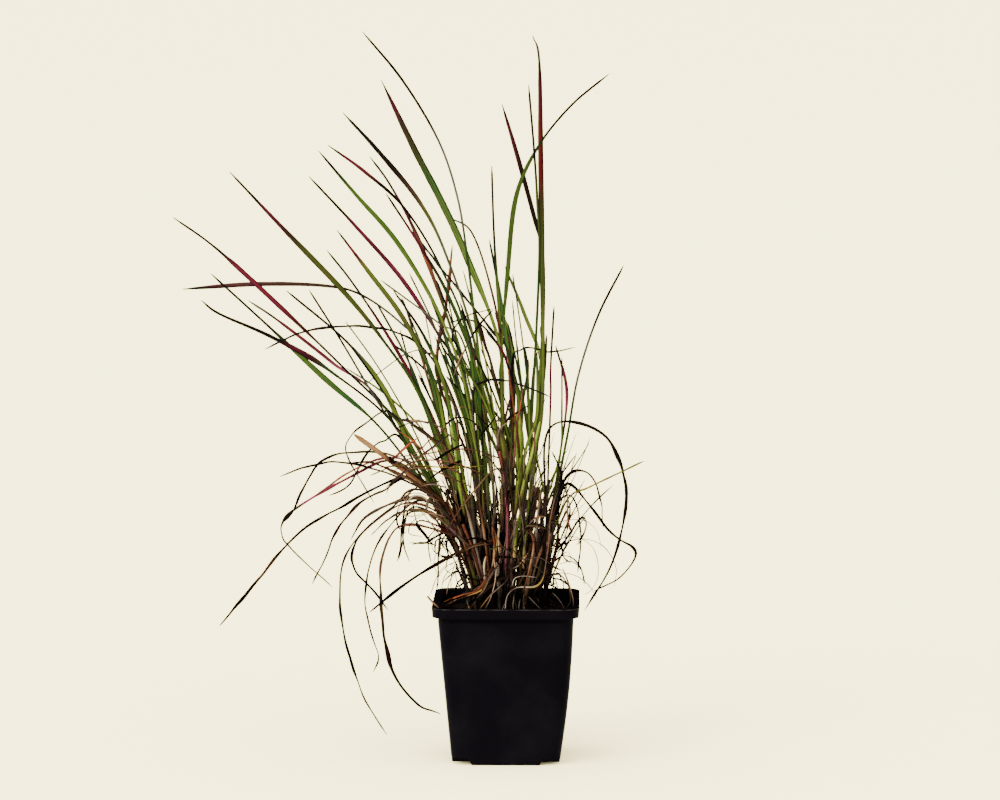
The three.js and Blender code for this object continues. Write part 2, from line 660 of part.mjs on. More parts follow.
// Leaves, straws and roots that leave their stem at a share of its length: the name of the
// stem, the share, and then as in the lists above
const LOOSE_LEAVES = [
  ['stem_wine', 0.92, ['russet', 2, 30, [-41, 228], [-43, 254], [-38, 283], [-35, 318]]],
  ['stem_bright', 0.9, ['umber', 2, -58, [-20, 222], [-13, 232], [-2, 233], [10, 230], [27, 223]]],
  ['stem_thin', 0.95, ['umber', 1.4, -52, [-16, 225], [-28, 250], [-32, 261], [-24, 271], [-7, 276]]],
  ['stem_folded', 0.8, ['umber', 1.5, 18, [-4, 235], [-4, 251], [-13, 265], [-25, 271], [-35, 269]]],
  ['stem_crimson', 0.9, ['wine', 1.6, -62, [5, 222], [2, 240], [-2, 251], [-11, 262]]],
  ['stem_low_left', 0.8, [
    'umber', 1.8, -66, [-53, 190], [-70, 213], [-81, 209], [-92, 200], [-95, 188], [-78, 159],
  ]],
  ['stem_fresh_left', 0.8, ['straw', 1.8, -60, [-36, 190], [-45, 197], [-56, 206], [-64, 210]]],
  ['stem_left', 0.85, ['green', 1.8, 16, [-34, 188], [-44, 195], [-63, 210]]],
  ['stem_far_left', 0.75, ['russet', 2, 8, [-51, 176], [-70, 185], [-92, 179], [-119, 161]]],
  ['stem_far_left', 0.6, ['umber', 1.8, -24, [-46, 150], [-59, 154], [-62, 141], [-65, 123]]],
  ['dry_stem_left', 0.7, ['dusk', 2.4, -40, [-38, 140], [-46, 134], [-58, 134]]],
  ['dry_stem_left', 0.85, ['straw', 1.6, -52, [-44, 158], [-62, 160], [-84, 150], [-93, 136]]],
  ['dry_stem_front_left', 0.8, ['dusk', 2.2, -46, [-34, 140], [-48, 147], [-54, 146], [-46, 137]]],
  ['dry_stem_back_left', 0.75, ['dusk', 1.8, 60, [-48, 150], [-62, 150], [-66, 132], [-62, 118]]],
  ['dry_stem_front', 0.5, ['straw', 2.6, -33, [-12, 108], [-22, 102], [-34, 99], [-40, 93.5]]],
  ['dry_stem_pale', 0.5, ['straw', 2, -49, [-4, 112], [-14, 102], [-24, 95.5]]],
  ['dry_stem_right', 0.45, ['root', 2.2, -27, [21, 110], [13, 106.5], [5, 106], [1, 101], [0, 90]]],
  ['dry_stem_hooked', 0.4, ['root', 1.8, -24, [9, 112], [4, 111], [1, 106], [3, 100]]],
  ['dry_stem_far_right', 0.5, ['root', 1.6, -14, [31, 114], [37, 108], [39.5, 98], [37, 93]]],
];

// The sorts of filler: short dead blades, thin inner leaves, dry curls, and crown roots
const THATCH = {
  from: [0.36, 0.78], outward: true, heading: [-1.1, 1.1], rise: [1.05, 1.5], length: [34, 88],
  curl: [-0.1, 0.5], wave: [-0.8, 0.8], width: [1.3, 2.3], bends: 3, steps: 2,
};
const INNER_LEAF = {
  from: [0.88, 0.98], outward: false, heading: [-0.9, 0.9], rise: [1.1, 1.5], length: [60, 150],
  curl: [0.1, 0.7], wave: [-0.4, 0.4], width: [1.3, 2.1], bends: 4, steps: 4,
};
const DRY_CURL = {
  from: [0.45, 0.9], outward: true, heading: [-0.8, 0.8], rise: [0.5, 1.3], length: [38, 76],
  curl: [1.8, 4.2], wave: [-1.6, 1.6], width: [1.2, 1.9], bends: 6, steps: 7,
};
const CROWN_ROOT = {
  from: [0.34, 0.44], outward: true, heading: [-0.7, 0.7], rise: [-0.4, 0.5], length: [9, 18],
  curl: [0.7, 1.9], wave: [-0.5, 0.5], width: [1.2, 1.6], bends: 3, steps: 4,
};

growStems(LEAFY_STEMS);
growStems(DRY_STEMS);
for (const [name, , , leaves] of [...LEAFY_STEMS, ...DRY_STEMS]) {
  leaves.forEach((leaf, order) => growLeaf(plantNamed(name), TOP_LEAF - LEAF_SPACING * order, leaf));
}
for (const [name, from, leaf] of LOOSE_LEAVES) growLeaf(plantNamed(name), from, leaf);

const leafyPlants = LEAFY_STEMS.map(([name]) => plantNamed(name));
const outerPlants = plants.filter(({ foot }) => Math.hypot(foot.x, foot.y) > OUTER_REACH);
leafyPlants.forEach((plant) => growFiller(plant, INNER_LEAF));
outerPlants.forEach((plant) => growFiller(plant, DRY_CURL));
for (let round = 0; round < THATCH_ROUNDS; round += 1) {
  plants.forEach((plant) => growFiller(plant, THATCH));
}
outerPlants.forEach((plant) => growFiller(plant, CROWN_ROOT));

// The lumps of the soil: broad waves about 20 mm long, with waves of 8 mm across them
function soilHeight(x, y) {
  const broad = Math.sin(x * 0.31 + 1) * Math.cos(y * 0.27);
  const fine = 0.6 * Math.sin(x * 0.83 - y * 0.61 + 2);
  return SOIL_TOP + SOIL_RELIEF * ((broad + fine) / 1.6 - 0.1);
}

// The soil: it fills the pot, is lumpy on top, and has a plain hole round each foot
function makeSoil() {
  const span = BODY_TOP_WIDTH;
  const slab = new THREE.BoxGeometry(span, span, POT_HEIGHT, SOIL_GRID, SOIL_GRID, 1);
  const place = slab.attributes.position;
  for (let i = 0; i < place.count; i += 1) {
    const top = place.getZ(i) > 0;
    place.setZ(i, top ? soilHeight(place.getX(i), place.getY(i)) : -1);
  }
  const fill = cutAll(innerBlock(WALL + GAP, FLOOR + GAP, POT_HEIGHT), cornerBlocks(WALL + GAP));
  const holes = plants.map(({ foot }) => {
    const depth = ROOT_DEPTH + GAP;
    const radius = FOOT_RADIUS + HOLE_MARGIN;
    const hole = new THREE.CylinderGeometry(radius, radius, depth * 2, STEM_SIDES, 1);
    hole.rotateX(Math.PI / 2);
    hole.translate(foot.x, foot.y, SOIL_TOP);
    return toSolid(hole);
  });
  const soil = cutAll(toSolid(slab).intersect(fill), holes);
  return toMesh('potting_soil', soil, finish(SOIL_COLOUR, SOIL_ROUGHNESS));
}

const scene = new THREE.Group();
scene.name = 'potted_bluestem';
scene.add(makePot());
scene.add(makeSoil());
for (const plant of plants) {
  scene.add(toMesh(plant.name, joinAll(plant.solids), finish(COLOURS[plant.kind], PLANT_ROUGHNESS)));
}

export default scene;
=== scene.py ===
# Looks of a potted little bluestem: an upright ornamental grass in autumn colour, in its square
# nursery pot. Sizes are in millimetres and become metres where a mesh is made. +Z is up, the
# front of the pot faces -Y, and the origin is the middle of the pot's underside.

import math

import bmesh
import bpy
import numpy as np
from mathutils import Matrix, Vector


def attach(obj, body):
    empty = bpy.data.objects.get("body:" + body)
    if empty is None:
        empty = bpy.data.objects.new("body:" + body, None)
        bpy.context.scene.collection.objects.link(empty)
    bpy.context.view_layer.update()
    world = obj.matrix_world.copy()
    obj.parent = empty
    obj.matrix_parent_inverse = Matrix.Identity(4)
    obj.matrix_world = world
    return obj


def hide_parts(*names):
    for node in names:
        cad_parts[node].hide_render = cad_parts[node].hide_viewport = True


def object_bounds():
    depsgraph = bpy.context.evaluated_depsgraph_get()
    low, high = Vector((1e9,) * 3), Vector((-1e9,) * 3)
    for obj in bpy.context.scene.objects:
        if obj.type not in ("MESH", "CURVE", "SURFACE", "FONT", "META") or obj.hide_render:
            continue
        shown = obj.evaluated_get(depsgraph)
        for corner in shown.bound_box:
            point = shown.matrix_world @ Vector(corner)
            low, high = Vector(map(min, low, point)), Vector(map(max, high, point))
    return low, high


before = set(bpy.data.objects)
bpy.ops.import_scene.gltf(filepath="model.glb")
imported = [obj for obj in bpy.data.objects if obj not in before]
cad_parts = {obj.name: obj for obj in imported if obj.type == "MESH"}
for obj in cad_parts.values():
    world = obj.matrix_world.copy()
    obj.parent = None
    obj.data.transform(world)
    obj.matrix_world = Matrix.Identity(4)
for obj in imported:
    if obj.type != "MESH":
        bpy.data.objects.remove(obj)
cad_box = [list(corner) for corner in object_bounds()]

# A millimetre in metres, about a full turn in radians, and the low 32 bits that a random number keeps
MM = 0.001
FULL_TURN = 6.28
LOW_BITS = 0xFFFFFFFF

# The pot: its rim band, its body and the raised corners of its base
POT_HEIGHT = 98
RIM_WIDTH = 90
RIM_TAPER = 1
BAND_BOTTOM = 92
BODY_TOP_WIDTH = 83
BASE_WIDTH = 66
POT_WALL = 1.3
POT_FLOOR = 1.6
SIDE_BULGE = 1.6
BULGE_CUTS = 8
CORNER_SHARE = 0.11
CORNER_SEGMENTS = 6
CORNER_FOOT_HEIGHT = 4.5
CORNER_FOOT_TOP = 10
CORNER_FOOT_BOTTOM = 13

# The drain holes, and the groove below the rim band
DRAIN_RADIUS = 4
DRAIN_REACH = 15
DRAIN_SIDES = 24
STEP_LINE_Z = 89.8
STEP_LINE_HEIGHT = 1.1
STEP_LINE_DEPTH = 0.5
STEP_LINE_LENGTH = 72

# How far joined and cut shapes run past each other, and how the pot's mesh is cleaned and rounded
JOIN_OVERLAP = 0.01
CUT_PAST = 1
POT_WELD = 1e-6
FLAT_ANGLE = 0.01
EDGE_ROUNDING = 0.45
EDGE_SEGMENTS = 2
EDGE_ANGLE = 35

# The painted highlight along the rounding of the rim, partly wear, in distances below its top
HIGHLIGHT_FROM = 0.6
HIGHLIGHT_FULL = 0.35
# The level top of the rim, which has neither the painted highlight nor shine
LEVEL_FROM = 0.12
LEVEL_FULL = 0.03

# The stage and the camera, in metres and degrees. The view is in the photo's pixels, the sensor in mm.
FLOOR_REACH = 400
CAMERA_AZIMUTH = 1.079
CAMERA_ELEVATION = 5.809
CAMERA_DISTANCE = 2.5
CAMERA_TARGET = (-0.004, 0, 0.221)
VIEW_WIDTH = 1000
VIEW_FOCUS = 4076.4
SENSOR = 36

# The lamps: strength, breadth in degrees, and the way towards the lamp
KEY_LIGHT = (3.9, 30, (-0.75, -0.8, 0.75))
FLOOR_LIGHT = (17.5, 120, (-0.2, -0.4, 1))
SURROUND_COLOUR = (1, 0.97, 0.9, 1)
SURROUND_STRENGTH = 0.75

# The soil, and the crumbs on it, whose size, dents and stretch are drawn within spans
SOIL_GAP = 0.3
SOIL_TOP = 88.5
SOIL_RELIEF = 1.1
SOIL_CLEAR = 1
CRUMB_COUNT = 420
CRUMB_FIELD = 78
CRUMB_LIFT = 0.2
CRUMB_SIZE = (0.6, 2.2)
CRUMB_DENT = (0.7, 1.3)
CRUMB_STRETCH = ((1, 2), (0.7, 1.2), (0.45, 0.85))

# The crown: where the stems stand, and how they fan out with their height
CROWN_PITCH = 7.2
ROOT_DEPTH = 13
FOOT_RADIUS = 1.9
FOOT_RISE = 3.5
COLLAR_RADIUS = 1
FAN_OUT = 1.2
FAN_HEIGHT = 100

# The stems: their mesh, their swollen knots, and the streaks where sheaths have split and aged
STEM_SIDES = 14
STEM_RINGS = 40
TUBE_WELD = 1e-7
KNOT_COUNT = 7
KNOT_SHIFT = 0.37
KNOT_HEIGHT = 0.12
KNOT_SHARPNESS = 60
SHEATH_TONES = ("taupe", "ash", "mauve", "tan", "olive", "taupe", "rust")
SHEATH_STREAKS = ("bark", "brown", "soot")
STREAK_SHARE = 0.22
STREAK_BREAK = 0.09
STREAK_SHADE = (0.7, 1.3)
SHEATH_SHARE = 0.55
FRESH_SHARES = (0.6, 0.95)

# Leaves start near their stem's tip, one below the other, and swing in depth until they are clear
TOP_LEAF = 0.96
LEAF_SPACING = 0.12
EXTRA_STEPS = 2
LEAF_ROLL = 0.45
LEAF_TWIST = 0.7
DEPTH_EASE = 1.3
SIGHT_SLOPE = 0.1
SWINGS = 17
SWING_STEP = 6

# The fillers grow in drawn ways, on the outer stems or on all of them
FILLER_TRIES = 9
FILLER_ROLL = 1.5
FILLER_TWIST = 0.3
CLUMP_LEAN = 0.35
OUTER_REACH = 16
THATCH_ROUNDS = 3

# How strands keep clear of each other, as rows of balls
CLEARANCE = 0.35
SAMPLE_STEP = 2
NEAR_REACH = 8
BALL_TAPER = 3

# The bundle of the crown that most fine strands keep to, as seen from the front
BUNDLE_FOOT = 111
BUNDLE_LEFT = -19
BUNDLE_LEAN = 0.5
BUNDLE_RIGHT = 31

# A blade's form: how much broader it is than its solid, its turn, its fold, its waves and its point
LIVING_BREADTH = 1.36
DRY_BREADTH = 1.45
LIVING_TURN = 0.45
DRY_TURN = 0.8
LIVING_FOLD = 0.35
DRY_FOLD = 0.8
WAVINESS = 0.22
LIVING_WAVINESS = 0.25
EDGE_WAVE = 0.21
FACE_WAVE = 0.35
TIP_HALF_WIDTH = 0.72
TIP_SHARE = 0.36
POINT_SHARE = 0.03
POINT_WIDTH = 0.35
FEWEST_KINKS = 3
KINK_SPACING = 9
KINK = 0.6
BLADE_THICKNESS = 0.22

# A blade's mesh: the least and the most rings, their spacing, and the faces across
BLADE_RINGS = (6, 70)
RING_LENGTH = 3.5
FINE_RING_LENGTH = 4
STRAW_RING_LENGTH = 2.5
WIDE_LEAF = 1.5
WIDE_COLUMNS = 6
NARROW_COLUMNS = 4
FINE_COLUMNS = 2

# The small share over which a curve's direction is taken, and the places that measure its length
SMALL_SHARE = 0.0001
LENGTH_PLACES = 25

# Stripes and painted shading run along a blade: their places from edge to edge, and how bright they are
# The dark edges are painted shade; the bright stripes are partly paler veins, partly painted highlights
STRIPE_PLACES = (-1, -0.67, -0.33, 0, 0.33, 0.67, 1)
LIVING_STRIPES_AND_SHADE = (0.02, 0.5, 1.1, 0.6, 1.25, 0.6, 0.02)
DRY_STRIPES_AND_SHADE = (0.1, 0.7, 1.3, 0.6, 1.1, 0.6, 0.1)
# Each blade's painted shading leans towards one edge by a drawn amount
SHADING_LEAN = 0.35

# A blade's tone is drawn a little apart from its colours, fades at a living foot, and takes painted shade at
# the crown's foot
LIVING_SPREAD = 0.25
DRY_SPREAD = 0.5
RED_RANGE = (0.92, 1.08)
BLUE_RANGE = (0.9, 1.1)
FOOT_FADE = 0.5
FOOT_FADE_SHARE = 0.28
FOOT_TONE = (0.13, 0.1, 0.035)
FOOT_SHADE_HEIGHTS = (103, 119)
FOOT_SHADE_LEVEL = 0.15

# Shares of their solid's width that stems and dead fillers have, and the fine strands' own turns
STEM_SHARE = 0.82
FINE_SHARE = 0.43
FINE_ROLL = 0.6
FINE_TWIST = 0.3

# The straws: their share of the width in the list, their sway in depth, their turn, and their brightness
STRAW_SHARE = 0.65
STRAW_SWAY = 2
STRAW_TURN = 0.3
STRAW_LIFT = 1.5

# The seeds of the random numbers
CRUMB_SEED = 77
STRAW_SEED = 300
STREAK_SEED = 4000
BLADE_SEED = 9000
SEEDS_PER_STEM = 40

# Colours of the pot, the soil and the floor, as linear light
PLASTIC = (0.0035, 0.0026, 0.0042, 1)
DUST = (0.022, 0.019, 0.02, 1)
RIM_HIGHLIGHT_AND_WEAR = (0.07, 0.06, 0.055, 1)
DARK_COMPOST = (0.004, 0.0022, 0.0016, 1)
PALE_COMPOST = (0.036, 0.02, 0.012, 1)
DARK_FLOOR = (0.92, 0.8, 0.37, 1)
PALE_FLOOR = (0.93, 0.81, 0.38, 1)

# Plain colours of the plant, as linear light
COLOURS = {
    "black": (0.0049, 0.0030, 0.0018),
    "soot": (0.013, 0.0070, 0.0041),
    "bark": (0.020, 0.0083, 0.0049),
    "maroon": (0.042, 0.0043, 0.0080),
    "wine": (0.094, 0.0072, 0.017),
    "crimson": (0.18, 0.013, 0.036),
    "rose": (0.37, 0.053, 0.11),
    "dusky_rose": (0.22, 0.05, 0.057),
    "scarlet": (0.36, 0.018, 0.02),
    "mauve": (0.14, 0.066, 0.058),
    "brown": (0.08, 0.038, 0.021),
    "taupe": (0.17, 0.11, 0.087),
    "rust": (0.17, 0.054, 0.027),
    "ember": (0.39, 0.087, 0.031),
    "tan": (0.37, 0.2, 0.086),
    "peach": (0.98, 0.47, 0.2),
    "orange": (0.64, 0.24, 0.040),
    "straw": (0.68, 0.42, 0.040),
    "grey": (0.13, 0.12, 0.097),
    "ivory": (0.62, 0.47, 0.27),
    "ash": (0.49, 0.39, 0.27),
    "grey_green": (0.12, 0.145, 0.066),
    "olive": (0.12, 0.135, 0.019),
    "moss": (0.07, 0.08, 0.014),
    "deep_green": (0.022, 0.064, 0.015),
    "teal_green": (0.033, 0.125, 0.024),
    "green": (0.078, 0.155, 0.02),
    "fresh": (0.17, 0.24, 0.03),
    "lime": (0.32, 0.43, 0.05),
}

# How a blade runs from its foot to its tip: a share of its length, its colour, and a share of its
# width. Two colours are those of its left and its right half; a darker right half is painted shade.
COLOURINGS = {
    "crimson_streak": [
        (0, "fresh", 0.5), (0.2, "green", 0.55), (0.33, "soot", 0.35), (0.5, "black", 0.27),
        (0.57, "maroon", 0.5), (0.64, "crimson", 0.72), (0.8, "crimson", 0.72), (0.84, "black", 0.42),
        (0.9, "black", 0.3), (1, "black", 0.2),
    ],
    "streaked_thread": [
        (0, "fresh", 0.6), (0.3, "green", 0.6), (0.5, "deep_green", 0.4), (0.65, "soot", 0.35),
        (0.75, "black", 0.5), (0.84, "black", 0.7), (0.89, "crimson", 0.75), (0.94, "crimson", 0.6),
        (0.97, "black", 0.45), (1, "black", 0.35),
    ],
    "crimson_thread": [
        (0, "moss", 0.7), (0.3, "moss", 0.5), (0.45, "soot", 0.45), (0.56, "mauve", 0.5), (0.64, "rose", 0.7),
        (0.7, "crimson", 0.8), (0.84, "crimson", 0.75), (0.9, "soot", 0.5), (1, "grey", 0.35),
    ],
    "maroon_thread": [
        (0, "olive", 0.6), (0.2, "fresh", 0.5), (0.3, "soot", 0.3), (0.5, "black", 0.3),
        (0.58, "deep_green", 0.5), (0.64, "maroon", 0.95), (0.7, "wine", 0.85), (0.74, "black", 0.65),
        (0.93, "black", 0.45), (1, "black", 0.3),
    ],
    "green_thread": [
        (0, "fresh", 0.5), (0.15, "teal_green", 0.4), (0.2, "deep_green", 0.25), (0.35, "deep_green", 0.25),
        (0.45, "teal_green", 0.65), (0.55, "green", 0.78), (0.65, "green", 0.65), (0.7, "deep_green", 0.5),
        (0.76, "black", 0.35), (0.85, "black", 0.25), (1, "black", 0.2),
    ],
    "olive_blade": [
        (0, "fresh", 0.5), (0.3, "green", 0.4), (0.42, "deep_green", 0.35), (0.5, "olive moss", 0.55),
        (0.62, "olive moss", 0.7), (0.72, "olive moss", 0.7), (0.78, "brown soot", 0.6), (0.83, "wine", 0.5),
        (0.87, "crimson", 0.45), (0.9, "black", 0.36), (0.95, "black", 0.28), (1, "black", 0.2),
    ],
    "level_blade": [
        (0, "fresh", 0.7), (0.25, "green", 0.7), (0.36, "olive", 0.5), (0.42, "grey", 0.36),
        (0.58, "soot", 0.45), (0.66, "brown bark", 0.62), (0.75, "brown maroon", 0.78),
        (0.86, "brown wine", 0.86), (0.92, "bark wine", 0.74), (0.95, "black", 0.56), (1, "black", 0.25),
    ],
    "bright_blade": [
        (0, "lime", 0.45), (0.2, "fresh", 0.4), (0.4, "fresh", 0.4), (0.55, "fresh green", 0.58),
        (0.68, "green", 0.7), (0.78, "green", 0.65), (0.86, "green", 0.52), (0.9, "deep_green", 0.45),
        (0.93, "black", 0.4), (1, "black", 0.28),
    ],
    "low_blade": [
        (0, "teal_green", 0.5), (0.25, "green", 0.5), (0.32, "fresh", 0.62), (0.45, "lime", 0.68),
        (0.58, "fresh", 0.58), (0.66, "grey_green", 0.4), (0.74, "black", 0.27), (1, "black", 0.2),
    ],
    "dark_blade": [
        (0, "fresh", 0.55), (0.3, "green", 0.6), (0.6, "fresh", 0.6), (0.68, "deep_green", 0.52),
        (0.76, "black", 0.44), (0.9, "black", 0.34), (1, "black", 0.2),
    ],
    "wine_blade": [
        (0, "olive", 0.45), (0.3, "grey_green", 0.45), (0.38, "soot", 0.38), (0.44, "mauve", 0.45),
        (0.52, "crimson", 0.68), (0.64, "crimson", 0.7), (0.7, "wine", 0.64), (0.8, "crimson", 0.56),
        (0.85, "black", 0.42), (1, "black", 0.3),
    ],
    "dark_wine_blade": [
        (0, "fresh", 0.5), (0.2, "olive", 0.5), (0.3, "rust", 0.5), (0.4, "maroon", 0.52),
        (0.46, "crimson", 0.56), (0.6, "wine", 0.56), (0.66, "crimson", 0.48), (0.74, "maroon", 0.4),
        (0.78, "black", 0.34), (1, "black", 0.22),
    ],
    "tipped_blade": [
        (0, "lime", 0.45), (0.3, "fresh", 0.46), (0.45, "deep_green", 0.46), (0.55, "green moss", 0.54),
        (0.65, "olive moss", 0.62), (0.8, "olive green", 0.6), (0.86, "olive", 0.52), (0.89, "wine", 0.42),
        (0.93, "crimson", 0.34), (0.95, "black", 0.28), (1, "black", 0.2),
    ],
    "ember_blade": [
        (0, "olive", 0.6), (0.25, "green", 0.6), (0.4, "olive", 0.5), (0.52, "moss", 0.5), (0.6, "rust", 0.7),
        (0.68, "ember", 0.85), (0.73, "rust", 0.8), (0.78, "maroon", 0.55), (0.83, "crimson", 0.48),
        (0.88, "black", 0.38), (1, "soot", 0.3),
    ],
    "dusky_blade": [
        (0, "lime", 0.5), (0.25, "fresh", 0.45), (0.45, "grey_green", 0.35), (0.58, "grey_green", 0.42),
        (0.66, "olive", 0.55), (0.72, "brown", 0.68), (0.8, "soot", 0.78), (0.88, "black", 0.62),
        (0.95, "black", 0.44), (1, "black", 0.25),
    ],
    "shaded_blade": [
        (0, "fresh", 0.6), (0.3, "teal_green", 0.62), (0.5, "green", 0.62), (0.65, "deep_green", 0.56),
        (0.76, "maroon", 0.48), (0.86, "crimson", 0.4), (0.92, "black", 0.34), (1, "black", 0.25),
    ],
    "slim_blade": [
        (0, "green", 0.6), (0.5, "deep_green", 0.6), (0.7, "fresh soot", 0.6), (0.8, "soot", 0.55),
        (0.88, "black", 0.5), (0.94, "maroon black", 0.45), (1, "black", 0.3),
    ],
    "folded_blade": [
        (0, "lime", 0.35), (0.15, "fresh", 0.3), (0.35, "fresh", 0.35), (0.46, "fresh green", 0.66),
        (0.6, "fresh deep_green", 0.72), (0.7, "green deep_green", 0.72), (0.8, "moss soot", 0.68),
        (0.88, "brown black", 0.58), (0.92, "crimson black", 0.46), (0.955, "wine black", 0.32),
        (0.97, "black", 0.22), (1, "black", 0.13),
    ],
    "tall_blade": [
        (0, "lime", 0.55), (0.15, "fresh", 0.58), (0.35, "fresh", 0.58), (0.45, "moss fresh", 0.7),
        (0.55, "soot olive", 0.78), (0.62, "maroon moss", 0.78), (0.68, "scarlet soot", 0.78),
        (0.75, "scarlet maroon", 0.75), (0.88, "crimson maroon", 0.6), (0.925, "wine black", 0.42),
        (0.94, "black", 0.32), (1, "grey", 0.25),
    ],
    "arching_blade": [
        (0, "lime", 0.5), (0.2, "fresh", 0.4), (0.35, "green", 0.4), (0.43, "green", 0.7),
        (0.6, "green", 0.76), (0.7, "green", 0.6), (0.76, "deep_green", 0.42), (0.8, "black", 0.3),
        (1, "black", 0.24),
    ],
    "upright_blade": [
        (0, "fresh", 0.5), (0.3, "fresh", 0.55), (0.5, "olive", 0.6), (0.58, "bark", 0.65),
        (0.7, "soot", 0.75), (0.82, "maroon bark", 0.8), (0.88, "crimson black", 0.72),
        (0.94, "crimson black", 0.55), (0.97, "black", 0.42), (1, "black", 0.3),
    ],
    "black_thread": [
        (0, "fresh", 0.6), (0.25, "green", 0.55), (0.45, "deep_green", 0.48), (0.55, "grey", 0.42),
        (0.68, "grey", 0.42), (0.76, "soot", 0.5), (0.9, "black", 0.52), (1, "black", 0.35),
    ],
    "grey_thread": [
        (0, "olive", 0.7), (0.4, "green", 0.6), (0.6, "deep_green", 0.55), (0.8, "grey_green", 0.45),
        (1, "soot", 0.35),
    ],
    "lime_blade": [
        (0, "lime", 0.6), (0.5, "lime", 0.7), (0.7, "fresh", 0.8), (0.9, "green", 0.6), (1, "brown", 0.3),
    ],
    "green_blade": [
        (0, "lime", 0.6), (0.3, "fresh", 0.62), (0.65, "green", 0.62), (0.8, "deep_green", 0.48),
        (0.88, "black", 0.38), (1, "black", 0.25),
    ],
    "bent_blade": [
        (0, "fresh", 0.7), (0.3, "olive", 0.6), (0.5, "rust", 0.6), (0.62, "wine", 0.6), (0.76, "brown", 0.5),
        (0.85, "soot", 0.5), (1, "grey", 0.4),
    ],
    "brown_thread": [
        (0, "taupe brown", 0.5), (0.2, "tan brown", 0.5), (0.4, "taupe soot", 0.52),
        (0.55, "soot black", 0.58), (0.8, "black", 0.58), (1, "black", 0.4),
    ],
    "orange_thread": [
        (0, "bark", 0.6), (0.25, "rust", 0.7), (0.5, "ember", 0.9), (0.7, "rust", 0.9), (0.85, "ember", 0.75),
        (1, "orange", 0.3),
    ],
    "rust_thread": [
        (0, "bark", 0.9), (0.3, "rust", 0.9), (0.55, "tan", 0.9), (0.75, "rust", 0.8), (1, "brown", 0.5),
    ],
    "slim_rust": [
        (0, "bark", 0.35), (0.4, "brown", 0.4), (0.6, "tan", 0.5), (0.85, "rust", 0.5), (1, "brown", 0.35),
    ],
    "rose_thread": [
        (0, "brown", 0.6), (0.3, "dusky_rose", 0.6), (0.6, "dusky_rose", 0.6), (0.8, "ember", 0.55),
        (1, "mauve", 0.45),
    ],
    "faded_thread": [
        (0, "brown", 0.5), (0.3, "rust", 0.5), (0.6, "tan dusky_rose", 0.52), (0.85, "rust taupe", 0.48),
        (1, "brown", 0.4),
    ],
    "smoked_thread": [
        (0, "rust", 0.8), (0.2, "tan brown", 0.8), (0.35, "rust soot", 0.75), (0.5, "black", 0.7),
        (0.8, "black", 0.7), (1, "black", 0.4),
    ],
    "dusty_blade": [
        (0, "rust", 0.7), (0.4, "peach rust", 0.9), (0.7, "taupe mauve", 1.2), (0.9, "taupe", 1.2),
        (1, "soot", 0.4),
    ],
    "tan_blade": [
        (0, "brown", 0.9), (0.2, "taupe", 0.95), (0.45, "tan", 1), (0.7, "taupe", 0.9), (0.85, "brown", 0.7),
        (1, "soot", 0.4),
    ],
    "broken_leaf": [
        (0, "brown", 0.5), (0.25, "rust brown", 0.56), (0.4, "peach rust", 0.6), (0.6, "peach ember", 0.62),
        (0.64, "bark", 0.68), (0.68, "bark", 0.68), (0.72, "peach ember", 0.66), (0.8, "peach", 0.66),
        (0.92, "peach", 0.66), (0.98, "orange", 0.6), (1, "brown", 0.5),
    ],
    "straw_thread": [
        (0, "brown", 0.8), (0.3, "tan straw", 1), (0.6, "ember tan", 1), (0.8, "rust", 0.7), (1, "soot", 0.4),
    ],
    "crimson_straw": [
        (0, "bark", 0.8), (0.15, "mauve wine", 0.9), (0.4, "dusky_rose wine", 0.95),
        (0.6, "dusky_rose maroon", 0.9), (0.85, "rust maroon", 0.75), (1, "ember", 0.5),
    ],
    "dead_drape": [
        (0, "bark", 0.6), (0.2, "rust", 0.5), (0.4, "brown", 0.5), (0.5, "black", 0.55),
        (0.56, "tan black", 0.7), (0.62, "brown black", 0.65), (0.7, "wine black", 0.78),
        (0.78, "maroon black", 0.8), (0.83, "black", 0.5), (1, "black", 0.35),
    ],
    "black_drape": [
        (0, "bark", 0.65), (0.2, "soot", 0.62), (0.5, "black", 0.68), (0.75, "bark", 0.68),
        (0.85, "black", 0.6), (1, "black", 0.4),
    ],
    "arched_drape": [
        (0, "bark", 0.3), (0.3, "soot", 0.35), (0.42, "black", 0.62), (0.6, "black", 0.68),
        (0.8, "black", 0.5), (1, "black", 0.35),
    ],
    "yellow_thread": [(0, "olive", 0.35), (0.5, "straw olive", 0.32), (1, "olive", 0.3)],
    "long_drape": [
        (0, "bark", 0.6), (0.15, "rust", 0.6), (0.25, "brown", 0.55), (0.35, "black", 0.55),
        (0.6, "black", 0.5), (0.74, "soot", 0.45), (0.8, "tan maroon", 0.6), (0.86, "black", 0.6),
        (1, "black", 0.5),
    ],
    "red_drape": [
        (0, "bark", 0.8), (0.25, "brown", 0.7), (0.35, "wine", 0.6), (0.45, "crimson", 0.65),
        (0.57, "rose", 0.6), (0.62, "soot", 0.6), (0.8, "black", 0.6), (1, "black", 0.4),
    ],
    "olive_drape": [(0, "tan", 0.8), (0.3, "olive", 0.8), (0.7, "fresh", 0.7), (1, "olive", 0.4)],
    "pale_root": [(0, "brown", 0.7), (0.2, "ash", 0.6), (0.8, "ash", 0.5), (1, "taupe", 0.35)],
    "pale_loop": [
        (0, "mauve", 0.7), (0.2, "dusky_rose tan", 0.7), (0.42, "taupe tan", 0.7), (0.56, "tan straw", 0.8),
        (0.68, "ivory", 0.9), (0.78, "taupe", 0.6), (1, "ash", 0.45),
    ],
    "pale_straw": [(0, "brown", 0.9), (0.3, "ash", 0.9), (0.7, "peach", 0.9), (1, "tan", 0.6)],
    "lime_sheath": [
        (0, "bark", 0.6), (0.15, "olive", 0.9), (0.4, "lime olive", 1), (0.8, "lime fresh", 1),
